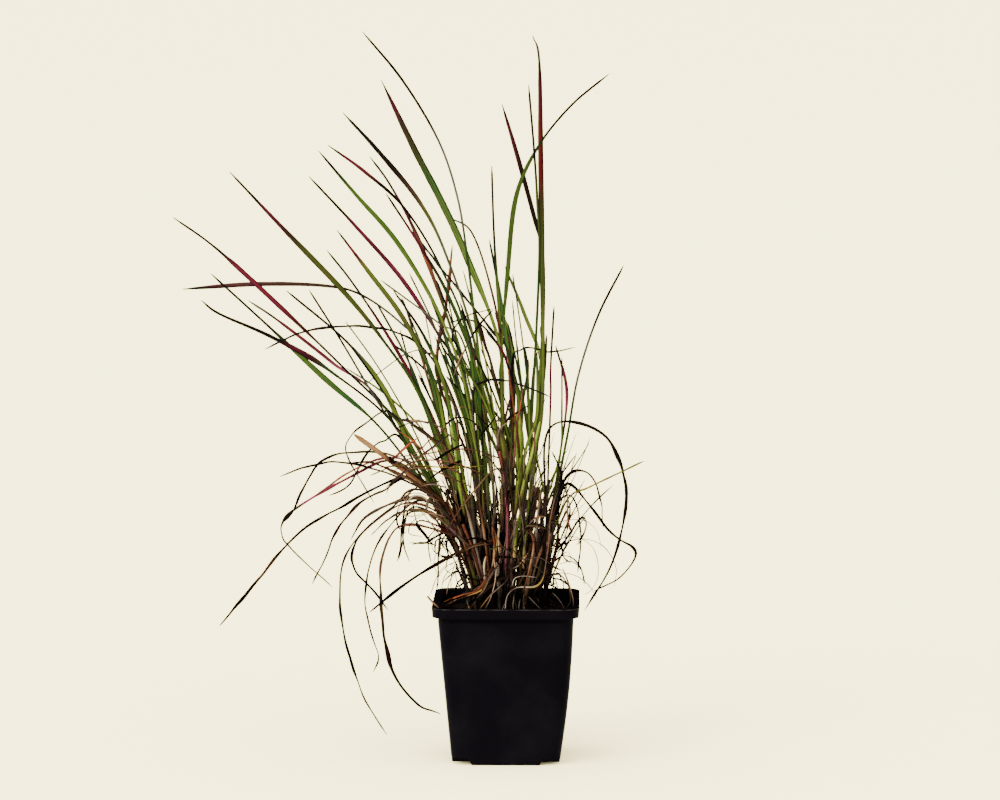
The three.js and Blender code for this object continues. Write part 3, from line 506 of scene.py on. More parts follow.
        (1, "lime", 0.7),
    ],
    "bud_sheath": [
        (0, "brown", 0.6), (0.2, "moss brown", 1), (0.6, "olive moss", 1), (0.85, "taupe brown", 0.7),
        (1, "bark", 0.3),
    ],
    "pale_sheath": [
        (0, "bark", 0.9), (0.2, "mauve taupe", 1), (0.5, "ash taupe", 1), (0.8, "tan taupe", 1),
        (1, "olive", 0.8),
    ],
    "pink_scrap": [(0, "bark", 0.8), (0.3, "mauve", 1), (0.6, "taupe", 0.9), (1, "tan", 0.5)],
}

# Blades that have dried. The rest are alive, or were until they coloured.
DRY_COLOURINGS = {
    "brown_thread", "rust_thread", "slim_rust", "rose_thread", "faded_thread", "orange_thread",
    "smoked_thread", "dusty_blade", "tan_blade", "broken_leaf", "straw_thread", "crimson_straw",
    "dead_drape", "black_drape", "arched_drape", "yellow_thread", "long_drape", "red_drape", "olive_drape",
    "pale_root", "pale_loop", "pale_straw", "lime_sheath", "bud_sheath", "pale_sheath", "pink_scrap",
}

# The leafy stems: name, colour of the sheath, cell in the crown, knots of the stem, and its
# leaves. A leaf has its colouring, width, depth of its tip, and its points from stem to tip.
LEAFY_STEMS = [
    ["stem_far_left", "olive", [-3, 0], [[-31, 130], [-41, 165]], [
        ["crimson_streak", 3.2, -20, [-61, 201], [-102, 243], [-136, 276], [-176, 313], [-202, 332]],
        ["green_thread", 3.4, 22, [-65, 188], [-84, 210], [-111, 233], [-151, 270], [-183, 299]],
        ["maroon_thread", 2.8, -44, [-65, 201], [-108, 239], [-142, 259], [-173, 273], [-183, 281]],
        ["crimson_thread", 2, 48, [-75, 216], [-108, 244], [-142, 270], [-162, 283]],
    ]],
    ["stem_left", "fresh", [-2, 0], [[-24, 135], [-31, 165]], [
        ["olive_blade", 3.6, -12, [-53, 223], [-75, 257], [-99, 287], [-139, 329], [-168, 360]],
        ["dark_wine_blade", 3, 34, [-37, 188], [-53, 225], [-75, 263], [-96, 294], [-112, 314]],
    ]],
    ["stem_level", "moss", [-3, 1], [[-26, 135], [-34, 175]], [
        ["level_blade", 2.6, 40, [-51, 249], [-65, 268], [-90, 286], [-114, 292], [-157, 293], [-203, 290]],
        ["brown_thread", 1.8, 12, [-32, 215], [-53, 254], [-84, 266], [-121, 264], [-149, 252]],
        ["brown_thread", 1.6, 60, [-40, 235], [-52, 251], [-67, 248], [-89, 231]],
    ]],
    ["stem_low_left", "tan", [-3, -1], [[-27, 130], [-36, 155]], [
        ["low_blade", 3.6, -38, [-59, 194], [-75, 229], [-97, 257], [-132, 287]],
        ["black_thread", 1.8, -60, [-59, 191], [-79, 222], [-99, 257], [-117, 287]],
    ]],
    ["stem_fresh_left", "lime", [-2, -1], [[-18, 135], [-26, 172]], [
        ["dark_blade", 3.2, -50, [-37, 228], [-49, 259], [-67, 287]],
        ["tipped_blade", 3.6, -28, [-36, 197], [-44, 233], [-62, 270], [-84, 300], [-102, 324]],
        ["grey_thread", 2.2, -72, [-46, 210], [-58, 244], [-76, 279]],
    ]],
    ["stem_wine", "brown", [-2, 1], [[-15, 135], [-19, 185]], [
        ["wine_blade", 3, 20, [-25, 231], [-42, 261], [-65, 296], [-93, 328], [-122, 359]],
        ["ember_blade", 2.6, 52, [-25, 230], [-39, 278], [-57, 325], [-73, 355], [-86, 373]],
    ]],
    ["stem_bright", "lime", [-1, -2], [[-12, 135], [-16, 180]], [
        ["bright_blade", 3.2, -44, [-25, 231], [-41, 275], [-65, 316], [-90, 345], [-112, 371]],
        ["streaked_thread", 2.2, -66, [-22, 253], [-38, 299], [-60, 336], [-84, 358], [-105, 373]],
    ]],
    ["stem_dusky", "fresh", [-1, 0], [[-10, 135], [-13, 190]], [
        ["dusky_blade", 3.2, 4, [-19, 253], [-37, 310], [-53, 342], [-78, 373], [-100, 397]],
        ["shaded_blade", 2.8, -16, [-19, 238], [-35, 284], [-53, 316], [-73, 347]],
    ]],
    ["stem_thin", "olive", [-1, -1], [[-6, 140], [-10, 195]], [
        ["black_thread", 2.3, -36, [-16, 244], [-24, 312], [-30, 347], [-41, 379], [-62, 414], [-86, 443]],
        ["grey_thread", 1.6, -24, [-25, 253], [-41, 268], [-76, 294]],
    ]],
    ["stem_folded", "lime", [0, 0], [[-2, 140], [-3, 200]], [
        ["folded_blade", 4.8, -8, [-4, 253], [-25, 310], [-40, 343], [-56, 374], [-76, 416]],
    ]],
    ["stem_bent", "moss", [-1, 1], [[-3, 140], [-2, 195]], [
        ["bent_blade", 1.8, 30, [-4, 256], [-11, 294], [-22, 325], [-35, 334]],
        ["dark_blade", 2.6, 46, [-3, 244], [-8, 318], [-10, 367]],
    ]],
    ["stem_arching", "fresh", [0, -1], [[1, 140], [-1, 190]], [
        ["arching_blade", 3, -30, [-3, 241], [1, 299], [6, 344], [19, 374], [39, 399], [62, 418]],
    ]],
    ["stem_short", "olive", [0, 1], [[4, 140], [4, 190]], [
        ["lime_blade", 2.2, 44, [3, 253], [-5, 278]],
        ["brown_thread", 2, 62, [2, 244], [-10, 265], [-38, 299], [-59, 326]],
        ["brown_thread", 1.8, 24, [3, 238], [8, 252], [19, 253], [28, 251], [42, 254]],
    ]],
    ["stem_olive", "lime", [1, 1], [[13, 135], [17, 185]], [
        ["lime_blade", 2.4, 58, [22, 238], [10, 276], [-2, 305]],
        ["green_blade", 2, 36, [15, 219], [17, 247]],
    ]],
    ["stem_tallest", "fresh", [1, -1], [[11, 157], [17, 185]], [
        ["tall_blade", 3.2, -18, [22, 219], [22, 293], [21, 367], [20, 427], [16, 442]],
        ["slim_blade", 2, -48, [20, 300], [19, 342], [17, 374], [14, 410]],
    ]],
    ["stem_upright", "olive", [1, 0], [[12, 140], [17, 190]], [
        ["upright_blade", 2.8, 12, [22, 260], [22, 311], [17, 333], [6, 373], [-3, 403]],
    ]],
    ["stem_right", "bark", [2, 0], [[20, 135], [26, 172]], [
        ["dark_wine_blade", 1.8, 6, [27, 222], [27, 241], [29, 279]],
        ["green_blade", 1.6, -14, [33, 188], [34, 213], [34, 247]],
    ]],
    ["stem_far_right", "wine", [2, 1], [[24, 130], [29, 160]], [
        ["crimson_thread", 2, 26, [33, 188], [37, 226], [30, 255]],
        ["black_thread", 2.2, 40, [37, 197], [44, 236], [56, 273], [72, 305]],
    ]],
    ["stem_yellow", "lime", [1, -2], [[9, 140], [8, 176]], [
        ["lime_blade", 2.4, -46, [6, 200], [8, 219], [5, 238]],
        ["lime_blade", 2, -34, [12, 190], [19, 213], [19, 250]],
    ]],
    ["stem_crimson", "crimson", [0, -2], [[1, 130], [0, 164], [-5, 193]], [
        ["dark_wine_blade", 2, -52, [1, 215], [5, 230], [1, 244]],
        ["brown_thread", 1.8, -38, [-1, 205], [14, 218]],
    ]],
    ["stem_back_left", "fresh", [-1, 2], [[-14, 135], [-20, 175]], [
        ["green_blade", 3, 84, [-28, 220], [-40, 262], [-52, 292]],
        ["wine_blade", 2.6, 104, [-26, 205], [-34, 228], [-40, 236]],
        ["black_thread", 2, 66, [-30, 210], [-50, 238], [-72, 256]],
    ]],
    ["stem_back", "lime", [0, 2], [[0, 135], [2, 175]], [
        ["green_blade", 3.2, 72, [2, 230], [-4, 280], [-12, 322]],
        ["olive_blade", 2.8, 98, [4, 215], [2, 250], [-2, 268]],
        ["black_thread", 2, 112, [0, 195], [-6, 208], [-10, 204]],
    ]],
    ["stem_back_right", "fresh", [1, 2], [[11, 135], [16, 170]], [
        ["green_blade", 2.8, 88, [20, 210], [22, 245], [20, 268]],
        ["wine_blade", 2.2, 64, [19, 205], [23, 240], [24, 262]],
    ]],
    ["stem_rear_left", "olive", [-1, 3], [[-8, 130], [-14, 165]], [
        ["green_blade", 2.8, 102, [-22, 205], [-34, 235], [-42, 250]],
        ["wine_blade", 2.4, 84, [-18, 210], [-22, 250], [-30, 278]],
    ]],
    ["stem_rear", "tan", [0, 3], [[4, 130], [6, 160]], [
        ["olive_blade", 2.8, 110, [8, 195], [8, 214], [6, 222]],
        ["green_blade", 2.4, 90, [8, 210], [12, 238], [10, 255]],
    ]],
]

# The dry stems, with the dead leaves that hang, curl and lie round the pot
DRY_STEMS = [
    ["dry_stem_left", "rust", [-2, -2], [[-24, 130], [-30, 148]], [
        ["broken_leaf", 3.2, -48, [-37, 157], [-50, 169], [-62, 178], [-75, 188], [-91, 200]],
        ["rust_thread", 2, -62, [-40, 160], [-58, 172], [-78, 182], [-92, 183]],
        ["brown_thread", 1.6, -34, [-45, 162], [-78, 178], [-102, 183], [-121, 180], [-137, 174]],
        ["long_drape", 2.4, -56, [-47, 168], [-65, 173], [-99, 156], [-127, 138], [-152, 108], [-172, 84]],
        ["dead_drape", 2, -74, [-53, 170], [-75, 165], [-90, 156], [-101, 142], [-107, 127], [-115, 110]],
    ]],
    ["dry_stem_back_left", "brown", [-2, 2], [[-24, 130], [-38, 165]], [
        ["brown_thread", 1.8, 40, [-68, 185], [-96, 188], [-115, 183], [-127, 166], [-133, 152], [-140, 144]],
        [
            "red_drape", 2, 58, [-68, 182], [-93, 175], [-119, 161], [-138, 148], [-142, 136], [-134, 124],
            [-111, 102],
        ],
        ["brown_thread", 1.6, 28, [-63, 194], [-75, 196], [-85, 190], [-92, 179], [-99, 167], [-111, 161]],
    ]],
    ["dry_stem_front_left", "rust", [-2, -3], [[-18, 124], [-26, 145]], [
        [
            "dead_drape", 2.2, -62, [-56, 158], [-80, 146], [-97, 125], [-100, 100], [-96, 74], [-86, 43],
            [-71, 18],
        ],
        [
            "dead_drape", 2.4, -40, [-62, 145], [-75, 125], [-76, 102], [-74, 78], [-68, 54], [-54, 36],
            [-39, 30],
        ],
        ["tan_blade", 1.8, -84, [-42, 150], [-58, 154], [-70, 149], [-79, 140]],
    ]],
    ["dry_stem_rear_left", "bark", [-2, 3], [[-20, 125], [-32, 150]], [
        [
            "brown_thread", 2, 44, [-56, 165], [-71, 154], [-90, 138], [-97, 125], [-95, 113], [-84, 101],
            [-75, 88],
        ],
        [
            "black_drape", 1.8, 66, [-52, 158], [-70, 146], [-84, 125], [-90, 97], [-86, 72], [-82, 58],
            [-86, 47],
        ],
        ["tan_blade", 2, 96, [-30, 165], [-38, 160], [-44, 130], [-46, 100]],
    ]],
    ["dry_stem_front", "ember", [-1, -3], [[-5, 118], [-7, 138]], [
        ["smoked_thread", 1.8, -52, [-22, 131], [-44, 120], [-65, 106], [-82, 92]],
        ["tan_blade", 1.8, -36, [-8, 145], [-4, 153]],
    ]],
    ["dry_stem_pale", "ash", [0, -3], [[4, 125], [6, 148]], [
        ["slim_rust", 2, -50, [2, 172], [-6, 179], [-19, 165], [-30, 151], [-35, 141]],
    ]],
    ["dry_stem_hooked", "mauve", [1, -3], [[14, 112], [17, 130]], [
        ["rust_thread", 2, -36, [17, 137], [13, 142], [10, 138]],
    ]],
    ["dry_stem_right", "soot", [2, -2], [[22, 125], [26, 145]], [
        [
            "arched_drape", 2.6, -24, [24, 195], [35, 208], [59, 200], [70, 180], [73, 160], [65, 122],
            [48, 92],
        ],
        ["brown_thread", 1.6, -48, [30, 160], [34, 175], [28, 190]],
    ]],
    ["dry_stem_far_right", "bark", [2, -1], [[26, 125], [30, 150]], [
        ["black_drape", 2, -6, [37, 170], [51, 157], [66, 138], [80, 128], [70, 112], [54, 103]],
        ["yellow_thread", 1.8, -34, [38, 161], [52, 168], [70, 177], [84, 184]],
    ]],
    ["dry_stem_outer_right", "soot", [3, 0], [[28, 118], [32, 136]], [
        ["black_drape", 1.6, 8, [33, 169], [38, 160], [39, 147], [36, 135]],
        ["black_drape", 1.4, -10, [39, 138], [46, 149], [49, 144], [43, 132]],
        ["black_drape", 1.4, 22, [36, 125], [45, 119], [48, 106]],
    ]],
    ["dry_stem_back_right", "brown", [2, 2], [[20, 125], [26, 145]], [
        ["brown_thread", 2, 92, [34, 160], [42, 158], [46, 135], [44, 110]],
        ["black_drape", 1.8, 60, [36, 172], [50, 176], [58, 160], [60, 140]],
    ]],
    ["dry_stem_rear_right", "tan", [1, 3], [[12, 122], [16, 145]], [
        ["tan_blade", 2.2, 108, [18, 165], [20, 160], [22, 130], [20, 100]],
        ["brown_thread", 1.8, 96, [10, 170], [4, 172], [-2, 150], [-4, 122]],
    ]],
]

# Leaves, straws and roots that leave their stem at a share of its length
LOOSE_LEAVES = [
    ["stem_wine", 0.92, ["orange_thread", 2, 30, [-41, 228], [-43, 254], [-38, 283], [-35, 318]]],
    ["stem_bright", 0.9, ["brown_thread", 2, -58, [-20, 222], [-13, 232], [-2, 233], [10, 230], [27, 223]]],
    [
        "stem_thin", 0.95,
        ["brown_thread", 1.4, -52, [-16, 225], [-28, 250], [-32, 261], [-24, 271], [-7, 276]],
    ],
    ["stem_folded", 0.8, ["brown_thread", 1.5, 18, [-4, 235], [-4, 251], [-13, 265], [-25, 271], [-35, 269]]],
    ["stem_crimson", 0.9, ["crimson_thread", 1.6, -62, [5, 222], [2, 240], [-2, 251], [-11, 262]]],
    ["stem_low_left", 0.8, [
        "brown_thread", 1.8, -66, [-53, 190], [-70, 213], [-81, 209], [-92, 200], [-95, 188], [-78, 159],
    ]],
    ["stem_fresh_left", 0.8, ["dusty_blade", 1.8, -60, [-36, 190], [-45, 197], [-56, 206], [-64, 210]]],
    ["stem_left", 0.85, ["lime_blade", 1.8, 16, [-34, 188], [-44, 195], [-63, 210]]],
    ["stem_far_left", 0.75, ["rose_thread", 1.5, 8, [-51, 176], [-70, 185], [-92, 179], [-119, 161]]],
    ["stem_far_left", 0.6, ["brown_thread", 1.8, -24, [-46, 150], [-59, 154], [-62, 141], [-65, 123]]],
    ["dry_stem_left", 0.7, ["black_drape", 2.4, -40, [-38, 140], [-46, 134], [-58, 134]]],
    ["dry_stem_left", 0.85, ["tan_blade", 1.6, -52, [-44, 158], [-62, 160], [-84, 150], [-93, 136]]],
    ["dry_stem_front_left", 0.8, ["red_drape", 2.2, -46, [-34, 140], [-48, 147], [-54, 146], [-46, 137]]],
    ["dry_stem_back_left", 0.75, ["black_drape", 1.8, 60, [-48, 150], [-62, 150], [-66, 132], [-62, 118]]],
    ["dry_stem_front", 0.5, ["tan_blade", 2.6, -33, [-12, 108], [-22, 102], [-34, 99], [-40, 93.5]]],
    ["dry_stem_pale", 0.5, ["tan_blade", 2, -49, [-4, 112], [-14, 102], [-24, 95.5]]],
    ["dry_stem_right", 0.45, ["pale_root", 2.2, -27, [21, 110], [13, 106.5], [5, 106], [1, 101], [0, 90]]],
    ["dry_stem_hooked", 0.4, ["pale_root", 1.8, -24, [9, 112], [4, 111], [1, 106], [3, 100]]],
    ["dry_stem_far_right", 0.5, ["pale_root", 1.6, -14, [31, 114], [37, 108], [39.5, 98], [37, 93]]],
]

# Straws, whitish roots and scraps that lie or hang in front of the crown, placed as a leaf is
STRAWS = [
    # those that cross the front of the crown
    ["smoked_thread", 1.5, -38, [-9.5, 133.4], [-19.9, 131.5], [-27.3, 127.2], [-37.7, 122.9], [-50, 115.5]],
    ["orange_thread", 1.3, -33, [-4.4, 127.2], [-7.1, 135.2], [-7.7, 143.9]],
    ["pale_straw", 1.4, -34, [-3.4, 125.4], [-4.6, 136.5], [-3.4, 145.1]],
    ["straw_thread", 1.2, -32, [-6, 126], [-5.4, 138], [-9, 146]],
    ["pale_straw", 1.6, -31, [-8.5, 116], [-6.8, 125], [-7.2, 133]],
    [
        "crimson_straw", 2.7, -33, [0.3, 116.7], [0.6, 125.4], [1.5, 142.6], [0.9, 157.4], [-0.3, 171],
        [-4, 192],
    ],
    ["olive_drape", 2.8, -32, [5.2, 123], [5.6, 127], [7, 141.4], [8.9, 153.7]],
    ["lime_sheath", 3.8, -34, [5.5, 150], [8, 166], [9.5, 188], [8.5, 212]],
    ["lime_sheath", 3.2, -35, [8.5, 156], [12, 172], [17, 190], [21, 208]],
    ["lime_sheath", 2.6, -36, [-24.5, 150], [-27, 166], [-30, 188], [-33, 206]],
    [
        "rust_thread", 1.6, -36, [10.7, 103.2], [13.8, 114.3], [16.3, 125.4], [17.5, 136.5], [15, 139.6],
        [11, 141],
    ],
    [
        "pale_loop", 1.5, -33, [26.7, 146.3], [26, 135.2], [24.8, 125.4], [23.6, 115.5], [20.6, 108.1],
        [13.8, 106.3], [5.2, 105.9], [0.9, 100.7], [-0.3, 92.1],
    ],
    ["pale_root", 1, -32, [4, 107], [4.6, 111.2], [8.3, 113], [13.2, 113.7], [19.3, 112.5]],
    ["pale_straw", 1, -34, [4, 118], [8.9, 120.4], [13.8, 127.8]],
    ["pale_root", 0.8, -33, [16.3, 120.4], [20, 118], [23.6, 114.3]],
    ["pale_sheath", 2.4, -30, [-13, 112], [-17, 128], [-21, 146], [-26, 163]],
    ["rust_thread", 1.8, -31, [-9, 112], [-11.5, 128], [-14, 146], [-17, 163]],
    ["rust_thread", 1.8, -29, [-18, 114], [-24, 130], [-30, 146], [-37, 164]],
    ["olive_drape", 2.4, -28, [11, 118], [12, 135], [13.5, 152], [15, 172]],
    ["pale_sheath", 2, -28, [17, 118], [18, 135], [20, 152], [22, 168]],
    ["pale_straw", 2, -31, [-12, 108], [-13, 120], [-11, 127]],
    ["black_drape", 3.4, -27, [21.5, 104], [23, 125], [25, 148]],
    ["black_drape", 3.2, -25, [25.5, 106], [27, 126], [28, 146]],
    # those that lie over the soil and the rim on the left
    ["tan_blade", 1.7, -34, [-4.6, 120.4], [-9.5, 113], [-14.4, 104.4], [-23.6, 91]],
    ["pale_straw", 1.1, -38, [2.1, 113.7], [-0.9, 109.3], [-9.5, 101.9], [-16.3, 92.7]],
    ["straw_thread", 1.4, -34, [-7.1, 115.5], [-14.4, 105.7], [-25.5, 100.7], [-34, 97], [-38.3, 94]],
    ["orange_thread", 1.2, -36, [-5, 124], [-11.3, 113], [-17.5, 105], [-27.3, 102], [-37.1, 98]],
    ["pink_scrap", 1.3, -31, [-6, 121], [-12.6, 109], [-25.5, 102], [-35, 95.5]],
    ["rust_thread", 1.6, -30, [-3, 130], [-7.5, 120.4], [-12.4, 110], [-19, 97]],
    ["tan_blade", 1.2, -36, [-47.5, 101.3], [-42.6, 95.8], [-38.3, 91.5]],
    ["pale_straw", 0.9, -35, [-23.6, 99.5], [-21.2, 92]],
    ["pale_straw", 0.9, -37, [-12, 93.9], [-8.3, 102], [-5.8, 114.3], [-7.7, 127.8]],
    # whitish roots
    ["pale_root", 1, -33, [1.5, 99.5], [-0.9, 95.8], [-3.4, 89.6]],
    ["pale_root", 1, -31, [11.3, 103.2], [11, 96], [12.6, 89.6]],
    ["pale_root", 1, -30, [13.8, 100.7], [18.7, 95.8], [23.6, 90.4]],
    ["pale_root", 0.9, -34, [8.9, 99.5], [7.7, 94.6], [10.1, 89.6]],
    ["pale_root", 0.9, -29, [5.2, 102], [4.4, 95.8], [5.8, 90.2]],
    ["pale_root", 0.8, -29, [28.5, 103.2], [33.4, 97.6], [36.5, 91.5]],
    ["tan_blade", 1, -32, [34.7, 118], [38.3, 109.3], [41.4, 98.3], [40.2, 90.9]],
    # a knot in the broken leaf, and the shred that leaves it
    ["black_drape", 3.6, -53, [-70, 186.8], [-66, 182.6]],
    ["orange_thread", 2.4, -52, [-67.8, 184.5], [-61, 191], [-51, 199]],
    # black curls on the right
    ["black_drape", 0.9, -28, [34.7, 129], [38.3, 135.2], [41.4, 142.6], [45.7, 148.8]],
    ["black_drape", 1.3, -27, [44.2, 132.8], [46.9, 137.7], [49.1, 142.6], [48.8, 147.6], [46.3, 148.5]],
    ["rust_thread", 1.4, -26, [40.2, 140.2], [38.3, 147.6], [37.7, 159.9], [37.1, 169.8]],
    ["black_drape", 1.1, -24, [28.5, 125.4], [34.7, 134], [36.5, 131.5], [35.9, 140.2]],
    ["black_drape", 1.1, -22, [29.8, 121.7], [35.9, 127.2], [40.2, 127.8], [39, 120.4], [35.9, 122.9]],
    ["black_drape", 1.5, -27, [33, 120.5], [38, 122.4], [43.3, 121], [46.9, 115.5], [48.5, 108.5]],
    ["black_drape", 1, -20, [27, 148], [33, 146.5], [40, 149]],
    ["black_drape", 1, -18, [27, 139], [34, 143], [39, 141.5]],
    ["black_drape", 0.9, -23, [27, 116], [31, 109], [30.5, 101]],
    ["black_drape", 0.9, -21, [30, 117], [34.5, 110], [35, 103]],
    ["black_drape", 1.2, -16, [26, 132], [33, 130.5], [37, 136], [33.5, 138.5]],
    # black curls on the left
    ["black_drape", 1.1, -36, [-34, 124.5], [-42.6, 128], [-44.5, 133], [-42.6, 140.2]],
    ["black_drape", 2, -34, [-15, 111], [-24, 112.6], [-28.5, 116.5], [-29.5, 121.5]],
    ["black_drape", 1.1, -33, [-29.8, 120.4], [-29.6, 110.6], [-24.2, 102.5]],
    ["brown_thread", 1, -38, [-31.6, 121.4], [-37.7, 119], [-42.6, 111.8], [-45.7, 101.5]],
    ["black_drape", 1.1, -30, [-28, 132], [-35, 137], [-38, 131], [-33, 127]],
    ["black_drape", 1.9, -44, [-60.4, 157.4], [-62.9, 142], [-63.5, 131.5], [-65.3, 122.9]],
    ["black_drape", 1.5, -40, [-56.1, 157.4], [-53.1, 145.1], [-46.3, 135.2], [-42, 132.2]],
    ["black_drape", 1.4, -36, [-42, 132.2], [-49.4, 134], [-56.7, 132.8]],
    ["brown_thread", 1.4, -30, [-35.9, 102], [-33.4, 111.2], [-26.7, 120.4], [-22.4, 126.6]],
    # dead threads higher up
    ["brown_thread", 1.2, -40, [-31.6, 216], [-24.8, 216.5], [-18.7, 213.5], [-12.6, 208]],
    ["black_drape", 1.5, -46, [-15.4, 211], [-11, 206], [-4.5, 202.5]],
    ["black_drape", 1.3, -47, [-4.5, 213], [-9, 206.5], [-15.4, 199]],
    ["bud_sheath", 5, -44, [0.5, 184], [-0.5, 191], [-2, 198], [-4.5, 205]],
    ["pink_scrap", 1.8, -45, [-4, 190], [-4.6, 198], [-3, 204], [3, 208.5]],
    ["orange_thread", 1.7, -48, [9, 186], [7, 205], [4, 226], [1.5, 246]],
    ["rose_thread", 2, -46, [5, 180], [7.5, 205], [10.5, 228]],
    ["faded_thread", 1.8, -47, [16, 182], [18, 198], [15.5, 212]],
    ["brown_thread", 2.4, -50, [-30.5, 236], [-26, 248], [-18, 263], [-7, 275.5]],
    ["black_drape", 2, -47, [-36, 206], [-29, 210], [-20, 208], [-13, 199]],
    # the nest of arcs on the left, behind and under the broken leaf
    ["faded_thread", 2, -44, [-4, 186], [-20, 191], [-40, 190], [-62, 184], [-82, 175]],
    ["faded_thread", 1.8, -41, [-14, 176], [-32, 183], [-52, 184], [-68, 178]],
    ["yellow_thread", 3.4, -39, [-12, 181], [-34, 180], [-56, 181.5], [-76, 180]],
    ["rose_thread", 1.8, -43, [-26, 176], [-44, 186], [-58, 198], [-66, 203]],
    ["brown_thread", 2, -45, [-30, 196], [-42, 206], [-55, 208], [-67, 203]],
    ["tan_blade", 1.6, -47, [-34, 200], [-47, 190], [-60, 178], [-72, 168]],
    ["faded_thread", 1.8, -46, [-36, 204], [-48, 195], [-54, 188], [-66, 187]],
    ["faded_thread", 1.7, -44, [-20, 168], [-38, 176], [-54, 180], [-66, 174], [-72, 164]],
    ["black_drape", 2.6, -49, [-26, 194], [-34, 190], [-42, 184.5]],
    ["tan_blade", 2.2, -48, [-46, 207], [-54, 209], [-64, 208.5]],
    # small loops under it
    ["faded_thread", 1.5, -50, [-40, 160], [-50, 164.5], [-58, 164], [-62, 160], [-55, 157.5], [-47, 159]],
    ["faded_thread", 1.4, -48, [-38, 154], [-48, 158], [-60, 157], [-64, 152.5], [-56, 150.5], [-46, 153]],
    ["brown_thread", 1.4, -46, [-36, 150], [-46, 152], [-56, 147], [-58, 140], [-50, 138]],
    ["black_drape", 2.6, -40, [-27, 184], [-36, 180], [-46, 173]],
    ["pale_straw", 1.6, -38, [-62, 152], [-58, 161], [-51, 163], [-46, 158], [-50, 153], [-58, 155]],
    ["pale_straw", 1.6, -37, [-44, 165], [-48, 158], [-46, 150], [-40, 148], [-37, 154]],
    ["tan_blade", 1.6, -36, [-36, 168], [-46, 170], [-56, 166], [-61, 158], [-62, 150]],
    ["brown_thread", 2.2, -42, [-40, 172], [-54, 168], [-64, 158], [-66, 146], [-60, 140]],
]

# The sorts of filler: short dead blades, thin inner leaves, dry curls, and crown roots. Each is drawn
# within its spans: where it leaves its stem, the angles at which it sets off, its length, how far it
# curls down and waves round, and its width.
THATCH = {
    "from": (0.36, 0.78), "outward": True, "heading": (-1.1, 1.1), "rise": (1.05, 1.5), "length": (34, 88),
    "curl": (-0.1, 0.5), "wave": (-0.8, 0.8), "width": (1.3, 2.3), "bends": 3, "steps": 2,
    "colourings": ["black_drape", "tan_blade", "rust_thread", "pink_scrap", "brown_thread", "black_drape"],
}
INNER_LEAF = {
    "from": (0.88, 0.98), "outward": False, "heading": (-0.9, 0.9), "rise": (1.1, 1.5), "length": (60, 150),
    "curl": (0.1, 0.7), "wave": (-0.4, 0.4), "width": (1.3, 2.1), "bends": 4, "steps": 4,
    "colourings": ["green_blade", "dark_blade", "lime_blade", "grey_thread", "green_blade"],
}
DRY_CURL = {
    "from": (0.45, 0.9), "outward": True, "heading": (-0.8, 0.8), "rise": (0.5, 1.3), "length": (38, 76),
    "curl": (1.8, 4.2), "wave": (-1.6, 1.6), "width": (1.2, 1.9), "bends": 6, "steps": 7,
    "colourings": ["black_drape", "brown_thread", "red_drape", "rust_thread"],
}
CROWN_ROOT = {
    "from": (0.34, 0.44), "outward": True, "heading": (-0.7, 0.7), "rise": (-0.4, 0.5), "length": (9, 18),
    "curl": (0.7, 1.9), "wave": (-0.5, 0.5), "width": (1.2, 1.6), "bends": 3, "steps": 4,
    "colourings": ["pale_root", "brown_thread"],
}

# Fine strands that only the looks have. They need no clear way, and kink at their bends.
FINE_LEAF = {
    "count": 16, "from": (0.8, 1), "heading": (-0.7, 0.7), "rise": (1.2, 1.5), "length": (50, 130),
    "curl": (-0.1, 0.5), "wave": (-0.3, 0.3), "width": (1.1, 1.8), "bends": 4, "kink": 1, "seed": 211,
    "outward": False, "bundled": False,
    "colourings": [
        "lime_blade", "green_blade", "green_blade", "lime_blade", "grey_thread", "bright_blade",
        "rust_thread",
    ],
}
FINE_THATCH = {
    "count": 155, "from": (0.26, 0.68), "heading": (-1.5, 1.5), "rise": (0.75, 1.53), "length": (16, 58),
    "curl": (-0.3, 1.6), "wave": (-1, 1), "width": (0.7, 1.3), "bends": 5, "kink": 2.2, "seed": 501,
    "outward": True, "bundled": True,
    "colourings": [
        "black_drape", "tan_blade", "rose_thread", "pale_straw", "black_drape", "pale_sheath", "pink_scrap",
        "tan_blade", "faded_thread", "rust_thread",
    ],
}
BASE_FIBRE = {
    "count": 130, "from": (0.22, 0.5), "heading": (-1.6, 1.6), "rise": (1.2, 1.55), "length": (16, 46),
    "curl": (-0.1, 0.3), "wave": (-0.6, 0.6), "width": (0.6, 1.6), "bends": 5, "kink": 2, "seed": 617,
    "outward": True, "bundled": True,
    "colourings": ["black_drape", "pale_sheath", "tan_blade", "black_drape", "pink_scrap", "pale_straw"],
}
SHEATH_SCRAP = {
    "count": 52, "from": (0.34, 0.7), "heading": (-1.3, 1.3), "rise": (1.3, 1.54), "length": (14, 44),
    "curl": (-0.2, 0.3), "wave": (-0.5, 0.5), "width": (1.4, 2.6), "bends": 3, "kink": 1.2, "seed": 733,
    "outward": True, "bundled": True,
    "colourings": ["pink_scrap", "pale_sheath", "pale_straw", "brown_thread", "pale_sheath", "olive_drape"],
}
WISP = {
    "count": 90, "from": (0.4, 0.85), "heading": (-1.2, 1.2), "rise": (0.1, 1.2), "length": (14, 34),
    "curl": (1.2, 5), "wave": (-3.8, 3.8), "width": (1.2, 1.7), "bends": 9, "kink": 2.5, "seed": 911,
    "outward": True, "bundled": False,
    "colourings": ["black_drape", "brown_thread", "black_drape", "black_drape"],
}
HAIR_ROOT = {
    "count": 120, "from": (0.22, 0.42), "heading": (-1, 1), "rise": (-0.9, 0.7), "length": (7, 20),
    "curl": (0.2, 2), "wave": (-1.2, 1.2), "width": (0.25, 0.5), "bends": 5, "kink": 3, "seed": 377,
    "outward": True, "bundled": False,
    "colourings": ["pale_root", "brown_thread", "black_drape"],
}


